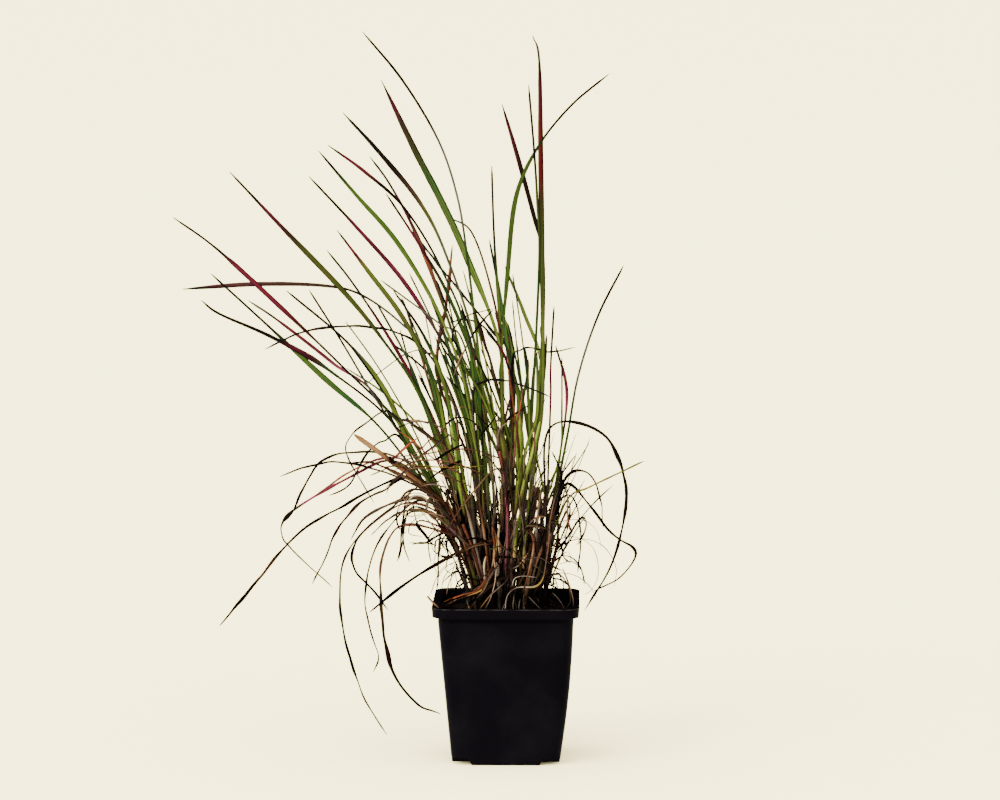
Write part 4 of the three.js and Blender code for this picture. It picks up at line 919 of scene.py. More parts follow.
def make_random(seed):
    """Seeded random numbers, the same on every run."""
    state = [seed]

    def draw():
        state[0] = (state[0] + 0x6D2B79F5) & LOW_BITS
        mixed = ((state[0] ^ (state[0] >> 15)) * (1 | state[0])) & LOW_BITS
        mixed = ((mixed + (mixed ^ (mixed >> 7)) * (61 | mixed)) ^ mixed) & LOW_BITS
        return ((mixed ^ (mixed >> 14)) & LOW_BITS) / (LOW_BITS + 1)

    return draw


def drawn(span, dice):
    """A number drawn between the two of a span."""
    low, high = span
    return low + (high - low) * dice()


def either_way(dice):
    """A number drawn between -1 and 1."""
    return 2 * dice() - 1


def jolt(dice):
    """A small drawn step in any direction."""
    return np.array([dice() - 0.5, dice() - 0.5, dice() - 0.5])


# Curves
def curve_points(points, shares):
    """The smooth curve through some points, at shares of its length."""
    points = np.asarray(points, float)
    before_first = 2 * points[0] - points[1]
    after_last = 2 * points[-1] - points[-2]
    padded = np.vstack([before_first, points, after_last])
    place = np.asarray(shares, float) * (len(points) - 1)
    index = np.minimum(np.floor(place).astype(int), len(points) - 2)
    weight = (place - index)[:, None]
    before, low, high, after = (padded[index + k] for k in range(4))
    leave = 0.5 * (high - before)
    arrive = 0.5 * (after - low)
    square = 3 * (high - low) - 2 * leave - arrive
    cube = 2 * (low - high) + leave + arrive
    return low + leave * weight + square * weight ** 2 + cube * weight ** 3


def curve_tangents(points, shares):
    """The directions in which the curve runs."""
    shares = np.asarray(shares, float)
    after = curve_points(points, np.minimum(shares + SMALL_SHARE, 1))
    before = curve_points(points, np.maximum(shares - SMALL_SHARE, 0))
    ahead = after - before
    return ahead / np.linalg.norm(ahead, axis=1)[:, None]


def curve_length(points):
    places = curve_points(points, np.linspace(0, 1, LENGTH_PLACES))
    return np.linalg.norm(np.diff(places, axis=0), axis=1).sum()


def crown_foot(column, row):
    """A stem's foot on the crown's staggered grid."""
    shift = 0 if row % 2 == 0 else 0.5
    return (column + shift) * CROWN_PITCH, row * CROWN_PITCH * math.sqrt(3) / 2


def spot(x, height, depth):
    """A point across and up, as seen from the front, at its depth."""
    return x, depth, height - depth * SIGHT_SLOPE


def width_at(z):
    """The width of the pot's body at a height."""
    return BASE_WIDTH + (BODY_TOP_WIDTH - BASE_WIDTH) * z / BAND_BOTTOM


INSIDE_REACH = width_at(BAND_BOTTOM) / 2 - POT_WALL


# Everything that grows keeps clear of what is already there
class Neighbours:
    """The middle lines of the grown strands, as small balls."""

    def __init__(self):
        self.places = np.zeros((0, 3))
        self.radii = np.zeros(0)
        self.owners = np.zeros(0, int)

    def add(self, owner, places, radii):
        self.places = np.vstack([self.places, places])
        self.radii = np.concatenate([self.radii, radii])
        self.owners = np.concatenate([self.owners, np.full(len(radii), owner)])

    def free_space(self, owner, places, radii):
        """The least free space round a row of balls, counted against every other plant part."""
        low = places.min(0) - NEAR_REACH
        high = places.max(0) + NEAR_REACH
        near = ((self.places > low) & (self.places < high)).all(1) & (self.owners != owner)
        least = min(NEAR_REACH, space_to_pot(places, radii))
        if near.any():
            apart = np.linalg.norm(places[:, None] - self.places[near][None], axis=2)
            least = min(least, (apart - radii[:, None] - self.radii[near][None]).min())
        return least


def space_to_pot(places, radii):
    """The least free space between a row of balls and the pot or the soil."""
    reach = np.maximum(np.abs(places[:, 0]), np.abs(places[:, 1]))
    height = places[:, 2]
    beside_rim = np.maximum(reach - RIM_WIDTH / 2, height - POT_HEIGHT) - radii
    to_soil = height - SOIL_TOP - SOIL_RELIEF
    to_wall = INSIDE_REACH - reach + np.maximum(height - POT_HEIGHT, 0)
    within = np.minimum(to_soil, to_wall) - radii
    outside = np.where(height < POT_HEIGHT + radii, beside_rim, NEAR_REACH)
    return np.where(reach > INSIDE_REACH, outside, within).min()


def balls_along(points, steps, radius_at):
    """Small balls along the straight stretches between the rings of a strand."""
    rings = curve_points(points, np.arange(steps + 1) / steps)
    places = []
    radii = []
    for ring in range(steps):
        count = math.ceil(np.linalg.norm(rings[ring + 1] - rings[ring]) / SAMPLE_STEP)
        shares = np.arange(count)[:, None] / count
        places.append(rings[ring] + (rings[ring + 1] - rings[ring]) * shares)
        radii.append(radius_at((ring + shares[:, 0]) / steps))
    return np.vstack(places), np.concatenate(radii)


class Clump:
    """The grown plant: its stems, each with its strands, placed by the same rule as the solids."""

    def __init__(self):
        self.plants = []
        self.neighbours = Neighbours()
        self.strand_number = 0

    def named(self, name):
        return next(plant for plant in self.plants if plant["name"] == name)

    def grow_stem(self, name, sheath, cell, knots):
        foot = crown_foot(*cell)
        points = [(*foot, SOIL_TOP - ROOT_DEPTH), (*foot, SOIL_TOP + FOOT_RISE)]
        for x, height in knots:
            fan = 1 + FAN_OUT * (height - SOIL_TOP) / FAN_HEIGHT
            points.append(spot(x, height, foot[1] * fan))
        number = len(self.plants)
        plant = {"name": name, "number": number, "sheath": sheath, "foot": foot, "points": points}
        plant["strands"] = []
        taper = COLLAR_RADIUS - FOOT_RADIUS
        balls = balls_along(points, len(points) - 1, lambda share: FOOT_RADIUS + taper * share)
        self.neighbours.add(number, *balls)
        self.plants.append(plant)

    def try_strand(self, plant, path, steps, width):
        balls = balls_along(path, steps, lambda share: width / 2 * (1 - share ** BALL_TAPER))
        return self.neighbours.free_space(plant["number"], *balls), balls

    def keep(self, plant, balls, **strand):
        self.neighbours.add(plant["number"], *balls)
        plant["strands"].append(strand)

    def grow_leaf(self, plant, start_share, leaf):
        """A leaf keeps its place as seen from the front, and swings in depth until it is clear."""
        colouring, width, tip_depth, *spots = leaf
        self.strand_number += 1
        dice = make_random(self.strand_number)
        roll = LEAF_ROLL * either_way(dice)
        twist = LEAF_TWIST * either_way(dice)
        start = curve_points(plant["points"], [start_share])[0]
        best = None
        for turn in range(SWINGS):
            swing = SWING_STEP * math.ceil(turn / 2) * (1 if turn % 2 == 0 else -1)
            path = [start]
            for i, (x, height) in enumerate(spots):
                share = ((i + 1) / len(spots)) ** DEPTH_EASE
                path.append(spot(x, height, start[1] + (tip_depth + swing - start[1]) * share))
            space, balls = self.try_strand(plant, path, len(spots) + EXTRA_STEPS, width)
            if best is None or space > best[0]:
                best = space, path, balls
            if space >= CLEARANCE:
                break
        self.keep(plant, best[2], colouring=colouring, points=best[1], width=width, roll=roll, twist=twist)

    def grow_filler(self, plant, sort):
        """A filler takes the first of its drawn ways that is clear, and is left out if none is."""
        self.strand_number += 1
        dice = make_random(self.strand_number)
        for _ in range(FILLER_TRIES):
            path, width, roll = draw_way(plant, sort, dice)
            space, balls = self.try_strand(plant, path, sort["steps"], width)
            if space >= CLEARANCE and all(is_above_pot(point) for point in path):
                pick = sort["colourings"][self.strand_number % len(sort["colourings"])]
                width *= FINE_SHARE if sort["outward"] else 1
                self.keep(
                    plant, balls, colouring=pick, points=path, width=width, roll=roll, twist=FILLER_TWIST,
                )
                return


def draw_way(plant, sort, dice):
    """One drawn way of a filler or a fine strand: its points, width and roll."""
    start_share = drawn(sort["from"], dice)
    start = curve_points(plant["points"], [start_share])[0]
    along = curve_tangents(plant["points"], [start_share])[0]
    outward = math.atan2(plant["foot"][1], plant["foot"][0])
    onward = math.atan2(along[1], along[0] - CLUMP_LEAN)
    heading = (outward if sort["outward"] else onward) + drawn(sort["heading"], dice)
    way = [drawn(sort[key], dice) for key in ("rise", "length", "curl", "wave")]
    path = wander(start, heading, *way, sort["bends"])
    return path, drawn(sort["width"], dice), FILLER_ROLL * either_way(dice)


def wander(start, heading, rise, length, curl, wave, count):
    """The points of a strand that sets off at a heading and a rise, and curls down and round."""
    points = [np.asarray(start, float)]
    for i in range(count):
        share = (i + 0.5) / count
        climb = rise - curl * share
        bearing = heading + wave * share
        level = math.cos(climb)
        step = np.array([level * math.cos(bearing), level * math.sin(bearing), math.sin(climb)])
        points.append(points[i] + step * (length / count))
    return points


def is_above_pot(point):
    """Whether a point is above the rim or within it, so that its strand doesn't cut the pot."""
    return point[2] > POT_HEIGHT or max(abs(point[0]), abs(point[1])) < INSIDE_REACH


def is_in_bundle(point):
    """Whether a point is within the crown's bundle, which leans out to the left as it rises."""
    rise = point[2] - BUNDLE_FOOT
    return BUNDLE_LEFT - BUNDLE_LEAN * rise < point[0] < BUNDLE_RIGHT


def grow_clump():
    """Grows the stems, then their leaves, then the fillers, always in the same order."""
    clump = Clump()
    rows = LEAFY_STEMS + DRY_STEMS
    for name, sheath, cell, knots, _ in rows:
        clump.grow_stem(name, sheath, cell, knots)
    for name, _, _, _, leaves in rows:
        for order, leaf in enumerate(leaves):
            clump.grow_leaf(clump.named(name), TOP_LEAF - LEAF_SPACING * order, leaf)
    for name, share, leaf in LOOSE_LEAVES:
        clump.grow_leaf(clump.named(name), share, leaf)
    leafy = clump.plants[:len(LEAFY_STEMS)]
    outer = [plant for plant in clump.plants if math.hypot(*plant["foot"]) > OUTER_REACH]
    for plant in leafy:
        clump.grow_filler(plant, INNER_LEAF)
    for plant in outer:
        clump.grow_filler(plant, DRY_CURL)
    for _ in range(THATCH_ROUNDS):
        for plant in clump.plants:
            clump.grow_filler(plant, THATCH)
    for plant in outer:
        clump.grow_filler(plant, CROWN_ROOT)
    return clump


# Meshes
def frames_along(points, rings, roll, twist):
    """Middle, across and out directions at each ring of a strand."""
    shares = np.arange(rings + 1) / rings
    middles = curve_points(points, shares)
    tangents = curve_tangents(points, shares)
    side = np.array([math.cos(roll), math.sin(roll), 0])
    acrosses = []
    for share, along in zip(shares, tangents):
        side = side - along * side.dot(along)
        side = side / np.linalg.norm(side)
        angle = twist * share
        acrosses.append(side * math.cos(angle) + np.cross(along, side) * math.sin(angle))
    acrosses = np.array(acrosses)
    return middles, acrosses, np.cross(acrosses, tangents)


def length_shares(middles):
    """How far each ring is along the strand, as a share of its length."""
    steps = np.linalg.norm(np.diff(middles, axis=0), axis=1)
    return np.concatenate([[0], np.cumsum(steps)]) / steps.sum()


def run_colours(colouring, shares, side):
    """The colours along a strand, on its left (0) or its right (1) half."""
    stops = COLOURINGS[colouring]
    table = np.array([COLOURS[(names.split() * 2)[side]] for _, names, _ in stops])
    places = [place for place, _, _ in stops]
    return np.stack([np.interp(shares, places, table[:, channel]) for channel in range(3)], axis=1)


def run_widths(colouring, shares):
    """The shares of its full width along a strand."""
    stops = COLOURINGS[colouring]
    places = np.array([place for place, _, _ in stops])
    widths = np.array([width for _, _, width in stops])
    index = np.clip(np.searchsorted(places, shares, "right") - 1, 0, len(stops) - 2)
    weight = (shares - places[index]) / (places[index + 1] - places[index])
    eased = weight ** 2 * (3 - 2 * weight)
    return widths[index] + (widths[index + 1] - widths[index]) * eased


def place_verts(verts, places):
    """Moves each point to its place, which is in millimetres."""
    for vert, place in zip(verts, places):
        vert.co = place * MM


def mark(verts, layers, colours, offsets):
    """Gives each point its colour, and its distance from the middle line for the veins."""
    for vert, colour, offset in zip(verts, np.clip(colours, 0, 1), offsets):
        vert[layers["tint"]] = (*colour, 1)
        vert[layers["across"]] = offset


def foot_shade_at(places):
    """How bright a strand is by its height: painted shade darkens the foot of the crown, under its dense
    strands.
    """
    return np.interp(places[:, 2], FOOT_SHADE_HEIGHTS, (FOOT_SHADE_LEVEL, 1))


def crinkled(points, dice):
    """The points of a dry blade, which kinks a little as it shrinks."""
    count = max(FEWEST_KINKS, int(curve_length(points) / KINK_SPACING))
    places = curve_points(points, np.linspace(0, 1, count + 1))
    for place in places[1:-1]:
        place += KINK * jolt(dice)
    return places


def half_widths(strand, share, length, crinkles, dry, dice):
    """Half of a blade's width at each share of its length."""
    breadth = DRY_BREADTH if dry else LIVING_BREADTH
    widths = breadth * strand["width"] / 2 * run_widths(strand["colouring"], share)
    if crinkles:
        widths = widths * (1 + WAVINESS * np.sin(share * length * EDGE_WAVE + FULL_TURN * dice()))
    widths = np.maximum(widths, min(TIP_HALF_WIDTH, strand["width"] * TIP_SHARE))
    return widths * np.clip(POINT_WIDTH + (1 - POINT_WIDTH) * (1 - share) / POINT_SHARE, 0, 1)


def blade_colours(colouring, share, across, spread, dry, dice):
    """The colours of a blade's points, with its stripes and painted shading, and faded to yellow green at a
    living foot.
    """
    brightness = 1 + spread * either_way(dice)
    tone = brightness * np.array([drawn(RED_RANGE, dice), 1, drawn(BLUE_RANGE, dice)])
    # Painted shade darkens the edges, and painted highlights partly make the bright stripes
    stripes_and_shade = np.interp(across, STRIPE_PLACES, DRY_STRIPES_AND_SHADE if dry else LIVING_STRIPES_AND_SHADE)
    stripes_and_shade = stripes_and_shade * (1 + SHADING_LEAN * either_way(dice) * across)
    # A darker right half is painted shade, on the side turned from the light
    right = (0.5 + 0.5 * across)[:, None]
    left_colours, right_colours = (run_colours(colouring, share, side) for side in (0, 1))
    colours = left_colours * (1 - right) + right_colours * right
    if not dry:
        most = 0 if colouring == "lime_blade" else FOOT_FADE
        fade = most * np.clip(1 - share / FOOT_FADE_SHARE, 0, 1)[:, None]
        colours = colours * (1 - fade) + np.array(FOOT_TONE) * fade
    return colours * tone * stripes_and_shade[:, None]


def add_blade(bm, layers, strand, number, columns, ring_length):
    """A leaf blade: a flat sheet, bent along its curve and folded along its midrib."""
    dice = make_random(BLADE_SEED + number)
    dry = strand["colouring"] in DRY_COLOURINGS
    crinkles = dry and strand["colouring"] != "broken_leaf"
    points = crinkled(strand["points"], dice) if crinkles else strand["points"]
    length = curve_length(points)
    rings = int(np.clip(length / ring_length, *BLADE_RINGS))
    turn = DRY_TURN if crinkles else LIVING_TURN
    middles, acrosses, outs = frames_along(points, rings, strand["roll"] * turn, strand["twist"] * turn)

    verts = bmesh.ops.create_grid(bm, x_segments=columns, y_segments=rings, size=0.5)["verts"]
    flat = np.array([vert.co[:2] for vert in verts]) + 0.5
    across = 2 * flat[:, 0] - 1
    ring = np.rint(flat[:, 1] * rings).astype(int)
    share = length_shares(middles)[ring]
    half_width = half_widths(strand, share, length, crinkles, dry, dice)
    offset = across * half_width
    waviness = WAVINESS * (1 if dry else LIVING_WAVINESS)
    ripple = waviness * np.sin(share * length * FACE_WAVE + FULL_TURN * dice())
    fold = DRY_FOLD if dry else LIVING_FOLD
    out = half_width * (fold * (0.5 - np.abs(across)) + ripple * across * np.abs(across))
    place_verts(verts, middles[ring] + acrosses[ring] * offset[:, None] + outs[ring] * out[:, None])

    spread = DRY_SPREAD if crinkles else LIVING_SPREAD
    colours = blade_colours(strand["colouring"], share, across, spread, dry, dice)
    # Straws keep their own lift; all else takes the painted shade at the crown's foot
    lift = strand.get("lift", foot_shade_at(middles[ring])[:, None])
    mark(verts, layers, colours * lift, offset)


def add_tube(bm, layers, points, sides, rings, radius_at, colour_at):
    """A closed tube along a curve: a sheet wrapped round and welded."""
    middles, acrosses, outs = frames_along(points, rings, 0, 0)
    before = set(bm.verts)
    bmesh.ops.create_grid(bm, x_segments=sides, y_segments=rings, size=0.5)
    verts = [vert for vert in bm.verts if vert not in before]
    flat = np.array([vert.co[:2] for vert in verts]) + 0.5
    share = flat[:, 1]
    ring = np.rint(share * rings).astype(int)
    angle = -2 * math.pi * flat[:, 0]
    radius = radius_at(share)
    sideways = np.cos(angle) * radius
    outwards = np.sin(angle) * radius
    place_verts(verts, middles[ring] + acrosses[ring] * sideways[:, None] + outs[ring] * outwards[:, None])
    # The stem takes the painted shade at the crown's foot
    mark(verts, layers, colour_at(share, angle) * foot_shade_at(middles[ring])[:, None], outwards)
    bmesh.ops.remove_doubles(bm, verts=verts, dist=TUBE_WELD)
    rim = [edge for edge in bm.edges if edge.is_boundary and edge.verts[0] not in before]
    bmesh.ops.holes_fill(bm, edges=rim, sides=sides)


def new_bmesh():
    """An empty mesh whose points can hold a colour and their distance from a middle line."""
    bm = bmesh.new()
    layers = {
        "tint": bm.verts.layers.float_color.new("tint"),
        "across": bm.verts.layers.float.new("across"),
    }
    return bm, layers


def keep_in_box(bm):
    """Brings the few leaf tips that pass the part's own box back onto it."""
    low, high = cad_box
    for vert in bm.verts:
        if any(not low[axis] <= vert.co[axis] <= high[axis] for axis in range(3)):
            vert.co = np.clip(vert.co, low, high)


def finish_piece(name, bm, material, smooth=True):
    """Makes the mesh a piece of the part, with its material."""
    keep_in_box(bm)
    mesh = bpy.data.meshes.new(name)
    bm.to_mesh(mesh)
    bm.free()
    for polygon in mesh.polygons:
        polygon.use_smooth = smooth
    mesh.materials.append(material)
    piece = bpy.data.objects.new(name, mesh)
    bpy.context.scene.collection.objects.link(piece)
    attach(piece, "root")
    return piece


def thicken(bm):
    """Gives flat blades their thickness."""
    bmesh.ops.solidify(bm, geom=bm.faces[:], thickness=BLADE_THICKNESS * MM)


# Materials. A colour mix has its factor, its two colours and its result at these sockets.
MIX_INPUTS = (0, 6, 7)
MIX_RESULT = 2

# Most noise stays within this span
NOISE_SPAN = (0.3, 0.7)

# The veins of a blade, and how far its roughness varies
VEIN_PITCH = 16
VEIN_TONES = (0.88, 1.06)
SMOOTHER = 0.08
ROUGHER = 0.1

# The pot's dust, in patches and in specks, and its shine
PATCH_DUST = 0.25
SPECK_DUST = 0.35
PLASTIC_SHINE = 0.045

# The depths of fine grain and of crumbs, in metres
GRAIN_DEPTH = 0.0001
CRUMB_DEPTH = 0.0008


class Finish:
    """A node material, built a line at a time."""

    def __init__(self, name):
        self.material = bpy.data.materials.new(name)
        self.material.use_nodes = True
        self.nodes = self.material.node_tree.nodes
        self.links = self.material.node_tree.links
        self.shader = self.nodes["Principled BSDF"]

    def add(self, kind, **inputs):
        node = self.nodes.new("ShaderNode" + kind)
        for key, value in inputs.items():
            self.set(node, key, value)
        return node

    def set(self, node, key, value):
        if hasattr(value, "is_output"):
            self.links.new(value, self.socket(node, key))
        elif key in node.bl_rna.properties:
            setattr(node, key, value)
        else:
            self.socket(node, key).default_value = value

    def socket(self, node, key):
        place = key.replace("_", " ").lower()
        if place.startswith("in") and place[2:].isdigit():
            return node.inputs[int(place[2:])]
        return next(entry for entry in node.inputs if entry.name.lower() == place and entry.enabled)

    def object_coordinates(self):
        return self.add("TexCoord").outputs["Object"]

    def attribute(self, name, output):
        return self.add("Attribute", attribute_name=name).outputs[output]

    def noise(self, vector, scale, detail=3, roughness=0.55):
        node = self.add("TexNoise", vector=vector, scale=scale, detail=detail, roughness=roughness)
        return node.outputs["Fac"]

    def maths(self, operation, first, second):
        return self.add("Math", operation=operation, in0=first, in1=second).outputs[0]

    def times(self, first, second):
        return self.maths("MULTIPLY", first, second)

    def ramp(self, value, onto=(0, 1), span=(0, 1)):
        """Spreads a span of values onto another one, and stops at its ends."""
        low, high = onto
        first, last = span
        node = self.add("MapRange", value=value, from_min=first, from_max=last, to_min=low, to_max=high)
        return node.outputs["Result"]

    def blend(self, mode, factor, first, second):
        node = self.add("Mix", data_type="RGBA", blend_type=mode)
        for place, value in zip(MIX_INPUTS, (factor, first, second)):
            if hasattr(value, "is_output"):
                self.links.new(value, node.inputs[place])
            else:
                node.inputs[place].default_value = value
        return node.outputs[MIX_RESULT]

    def bump(self, height, strength, distance):
        node = self.add("Bump", height=height, strength=strength, distance=distance)
        self.links.new(node.outputs["Normal"], self.shader.inputs["Normal"])

    def surface(self, **inputs):
        for key, value in inputs.items():
            self.set(self.shader, key, value)
        return self.material


def leaf_finish(name, roughness, shine, mottle, vein_depth):
    """Grass blade: its own colour along its length, veins along it, and fine mottling."""
    finish = Finish(name)
    place = finish.object_coordinates()
    tint = finish.attribute("tint", "Color")
    across = finish.attribute("across", "Fac")
    veins = finish.maths("SINE", finish.times(across, VEIN_PITCH), 0)
    spots = (1 - mottle, 1 + mottle)
    broad = finish.ramp(finish.noise(place, scale=90), onto=spots, span=NOISE_SPAN)
    fine = finish.ramp(finish.noise(place, scale=900), onto=spots, span=NOISE_SPAN)
    lines = finish.ramp(veins, onto=VEIN_TONES, span=(-1, 1))
    colour = finish.blend("MULTIPLY", 1, tint, finish.times(finish.times(broad, fine), lines))
    finish.bump(veins, strength=vein_depth, distance=GRAIN_DEPTH)
    sheen = (roughness - SMOOTHER, roughness + ROUGHER)
    rough = finish.ramp(finish.noise(place, scale=300), onto=sheen, span=NOISE_SPAN)
    return finish.surface(base_color=colour, roughness=rough, specular_ior_level=shine)


def below_rim(drop):
    return (POT_HEIGHT - drop) * MM


def plastic_finish():
    """Moulded black nursery plastic: satin, faintly grained and dusty, with a painted highlight, partly wear,
    along the rim's rounded edge.
    """
    finish = Finish("satin_black_plastic")
    place = finish.object_coordinates()
    grain = finish.noise(place, scale=1400, detail=2)
    patches = finish.ramp(finish.noise(place, scale=28, detail=4), span=(0.45, 0.75))
    specks = finish.ramp(finish.noise(place, scale=700, detail=1), span=(0.72, 0.78))
    dust = finish.maths("ADD", finish.times(patches, PATCH_DUST), finish.times(specks, SPECK_DUST))
    height = finish.add("SeparateXYZ", vector=place).outputs["Z"]
    # Painted highlight along the rim's rounded edge, partly wear, broken up by scuffs; the level top is left
    # out
    edge = finish.ramp(height, span=(below_rim(HIGHLIGHT_FROM), below_rim(HIGHLIGHT_FULL)))
    not_level = finish.ramp(height, onto=(1, 0), span=(below_rim(LEVEL_FROM), below_rim(LEVEL_FULL)))
    scuffs = finish.ramp(finish.noise(place, scale=160), onto=(0.15, 1), span=(0.4, 0.6))
    highlight_and_wear = finish.times(finish.times(edge, not_level), scuffs)
    colour = finish.blend("MIX", highlight_and_wear, finish.blend("MIX", dust, PLASTIC, DUST), RIM_HIGHLIGHT_AND_WEAR)
    finish.bump(grain, strength=0.12, distance=GRAIN_DEPTH)
    rough = finish.ramp(patches, onto=(0.34, 0.5))
    # The level top of the rim has no shine, which keeps it dark under the lamps
    shine = finish.times(not_level, PLASTIC_SHINE)
    return finish.surface(base_color=colour, roughness=rough, specular_ior_level=shine)


def soil_finish():
    """Dark compost of peat and bark."""
    finish = Finish("dark_compost")
    place = finish.object_coordinates()
    crumbs = finish.noise(place, scale=420, detail=5, roughness=0.7)
    clods = finish.noise(place, scale=110)
    colour = finish.blend("MIX", finish.ramp(crumbs, span=(0.35, 0.7)), DARK_COMPOST, PALE_COMPOST)
    finish.bump(finish.maths("ADD", crumbs, clods), strength=0.8, distance=CRUMB_DEPTH)
    return finish.surface(base_color=colour, roughness=0.95, specular_ior_level=0.05)


def floor_finish():
    """A plain pale floor with the faintest grain."""
    finish = Finish("pale_floor")
    grain = finish.noise(finish.object_coordinates(), scale=60, detail=2)
    colour = finish.blend("MIX", finish.ramp(grain, span=NOISE_SPAN), DARK_FLOOR, PALE_FLOOR)
    return finish.surface(base_color=colour, roughness=0.9)


# The pot
def to_metres(bm, verts):
    bmesh.ops.scale(bm, vec=(MM, MM, MM), verts=verts)


def block_bmesh(bottom_width, top_width, bottom_z, top_z, bulge):
    """A square block with round corners that widens upwards, bulging on its right side."""
    half = top_width / 2
    corner = top_width * CORNER_SHARE
    bm = bmesh.new()
    bmesh.ops.create_cube(bm, size=1)
    bmesh.ops.scale(bm, vec=(top_width, top_width, 1), verts=bm.verts)
    bmesh.ops.translate(bm, vec=(0, 0, 0.5), verts=bm.verts)
    upright = [edge for edge in bm.edges if abs(edge.verts[0].co.z - edge.verts[1].co.z) > 0.5]
    bmesh.ops.bevel(
        bm, geom=upright, offset=corner, affect="EDGES", segments=CORNER_SEGMENTS, profile=0.5, material=-1,
    )
    cuts = BULGE_CUTS if bulge else 1
    for cut in range(1, cuts):
        everything = bm.verts[:] + bm.edges[:] + bm.faces[:]
        bmesh.ops.bisect_plane(bm, geom=everything, plane_co=(0, 0, cut / cuts), plane_no=(0, 0, 1))
    for vert in bm.verts:
        x, y, share = vert.co
        scale = bottom_width / top_width * (1 - share) + share
        push = bulge * math.sin(math.pi * share) * x / half if x > 0 else 0
        vert.co = Vector((x * scale + push, y * scale, bottom_z + (top_z - bottom_z) * share)) * MM
    return bm


def inner_block(inset, bottom_z, top_z):
    return block_bmesh(
        width_at(bottom_z) - 2 * inset, width_at(top_z) - 2 * inset, bottom_z, top_z, SIDE_BULGE,
    )


def corner_block(margin, side_x, side_y):
    """A raised corner of the base, with slanted sides."""
    bm = bmesh.new()
    height = CORNER_FOOT_HEIGHT + margin + CUT_PAST
    bottom, top = ((width + margin) * math.sqrt(2) for width in (CORNER_FOOT_BOTTOM, CORNER_FOOT_TOP))
    bmesh.ops.create_cone(bm, cap_ends=True, segments=4, depth=height, radius1=bottom, radius2=top)
    bmesh.ops.rotate(bm, cent=(0, 0, 0), matrix=Matrix.Rotation(math.pi / 4, 3, "Z"), verts=bm.verts)
    reach = BASE_WIDTH / 2
    bmesh.ops.translate(bm, vec=(side_x * reach, side_y * reach, height / 2 - CUT_PAST), verts=bm.verts)
    to_metres(bm, bm.verts)
    return bm


def corner_blocks(margin):
    return [corner_block(margin, side_x, side_y) for side_x in (-1, 1) for side_y in (-1, 1)]


def drain_hole(x, y):
    """A round cutter that passes through the pot's floor."""
    bm = bmesh.new()
    length = 4 * POT_FLOOR
    radius = DRAIN_RADIUS
    bmesh.ops.create_cone(
        bm, cap_ends=True, segments=DRAIN_SIDES, depth=length, radius1=radius, radius2=radius,
    )
    bmesh.ops.translate(bm, vec=(x, y, 0), verts=bm.verts)
    to_metres(bm, bm.verts)
    return bm


def line_block(width, depth, x, y):
    """A cutter for one side's groove."""
    bm = bmesh.new()
    bmesh.ops.create_cube(bm, size=1)
    bmesh.ops.scale(bm, vec=(width, depth, STEP_LINE_HEIGHT), verts=bm.verts)
    bmesh.ops.translate(bm, vec=(x, y, STEP_LINE_Z), verts=bm.verts)
    to_metres(bm, bm.verts)
    return bm


def step_lines():
    """The grooves below the rim band, one along each side."""
    cuts = []
    for place in (-width_at(STEP_LINE_Z) / 2, width_at(STEP_LINE_Z) / 2):
        cuts.append(line_block(STEP_LINE_LENGTH, 2 * STEP_LINE_DEPTH, 0, place))
        cuts.append(line_block(2 * STEP_LINE_DEPTH, STEP_LINE_LENGTH, place, 0))
    return cuts


def carve(bm, others, operation):
    """Joins other shapes to a shape, or cuts them out of it."""
    for other in others:
        pieces = []
        for shape in (bm, other):
            mesh = bpy.data.meshes.new("shape")
            shape.to_mesh(mesh)
            shape.free()
            piece = bpy.data.objects.new("shape", mesh)
            bpy.context.scene.collection.objects.link(piece)
            pieces.append(piece)
        boolean = pieces[0].modifiers.new("carve", "BOOLEAN")
        boolean.operation = operation
        boolean.solver = "EXACT"
        boolean.object = pieces[1]
        bpy.context.view_layer.update()
        result = pieces[0].evaluated_get(bpy.context.evaluated_depsgraph_get()).to_mesh()
        bm = bmesh.new()
        bm.from_mesh(result)
        for piece in pieces:
            mesh = piece.data
            bpy.data.objects.remove(piece)
            bpy.data.meshes.remove(mesh)
    return bm


def make_pot():
    """The pot: a body and a rim band, hollowed, drained and grooved."""
    body = block_bmesh(BASE_WIDTH, BODY_TOP_WIDTH, 0, BAND_BOTTOM, SIDE_BULGE)
    band = block_bmesh(RIM_WIDTH - RIM_TAPER, RIM_WIDTH, BAND_BOTTOM - JOIN_OVERLAP, POT_HEIGHT, 0)
    inner = inner_block(POT_WALL, POT_FLOOR, POT_HEIGHT + CUT_PAST)
    hollow = carve(inner, corner_blocks(POT_WALL), "DIFFERENCE")
    shell = carve(body, [band], "UNION")
    cutters = [hollow, *corner_blocks(0), *step_lines()]
    cutters += [drain_hole(x, y) for x in (-DRAIN_REACH, DRAIN_REACH) for y in (-DRAIN_REACH, DRAIN_REACH)]
    shell = carve(shell, cutters, "DIFFERENCE")
    bmesh.ops.remove_doubles(shell, verts=shell.verts, dist=POT_WELD)
    bmesh.ops.dissolve_limit(shell, angle_limit=FLAT_ANGLE, verts=shell.verts, edges=shell.edges)
    pot = finish_piece("nursery_pot", shell, plastic_finish())
    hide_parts("pot")
    bevel = pot.modifiers.new("soft_edges", "BEVEL")
    bevel.width = EDGE_ROUNDING * MM
    bevel.segments = EDGE_SEGMENTS
    bevel.limit_method = "ANGLE"
    bevel.angle_limit = math.radians(EDGE_ANGLE)
    bevel.harden_normals = True
    return pot


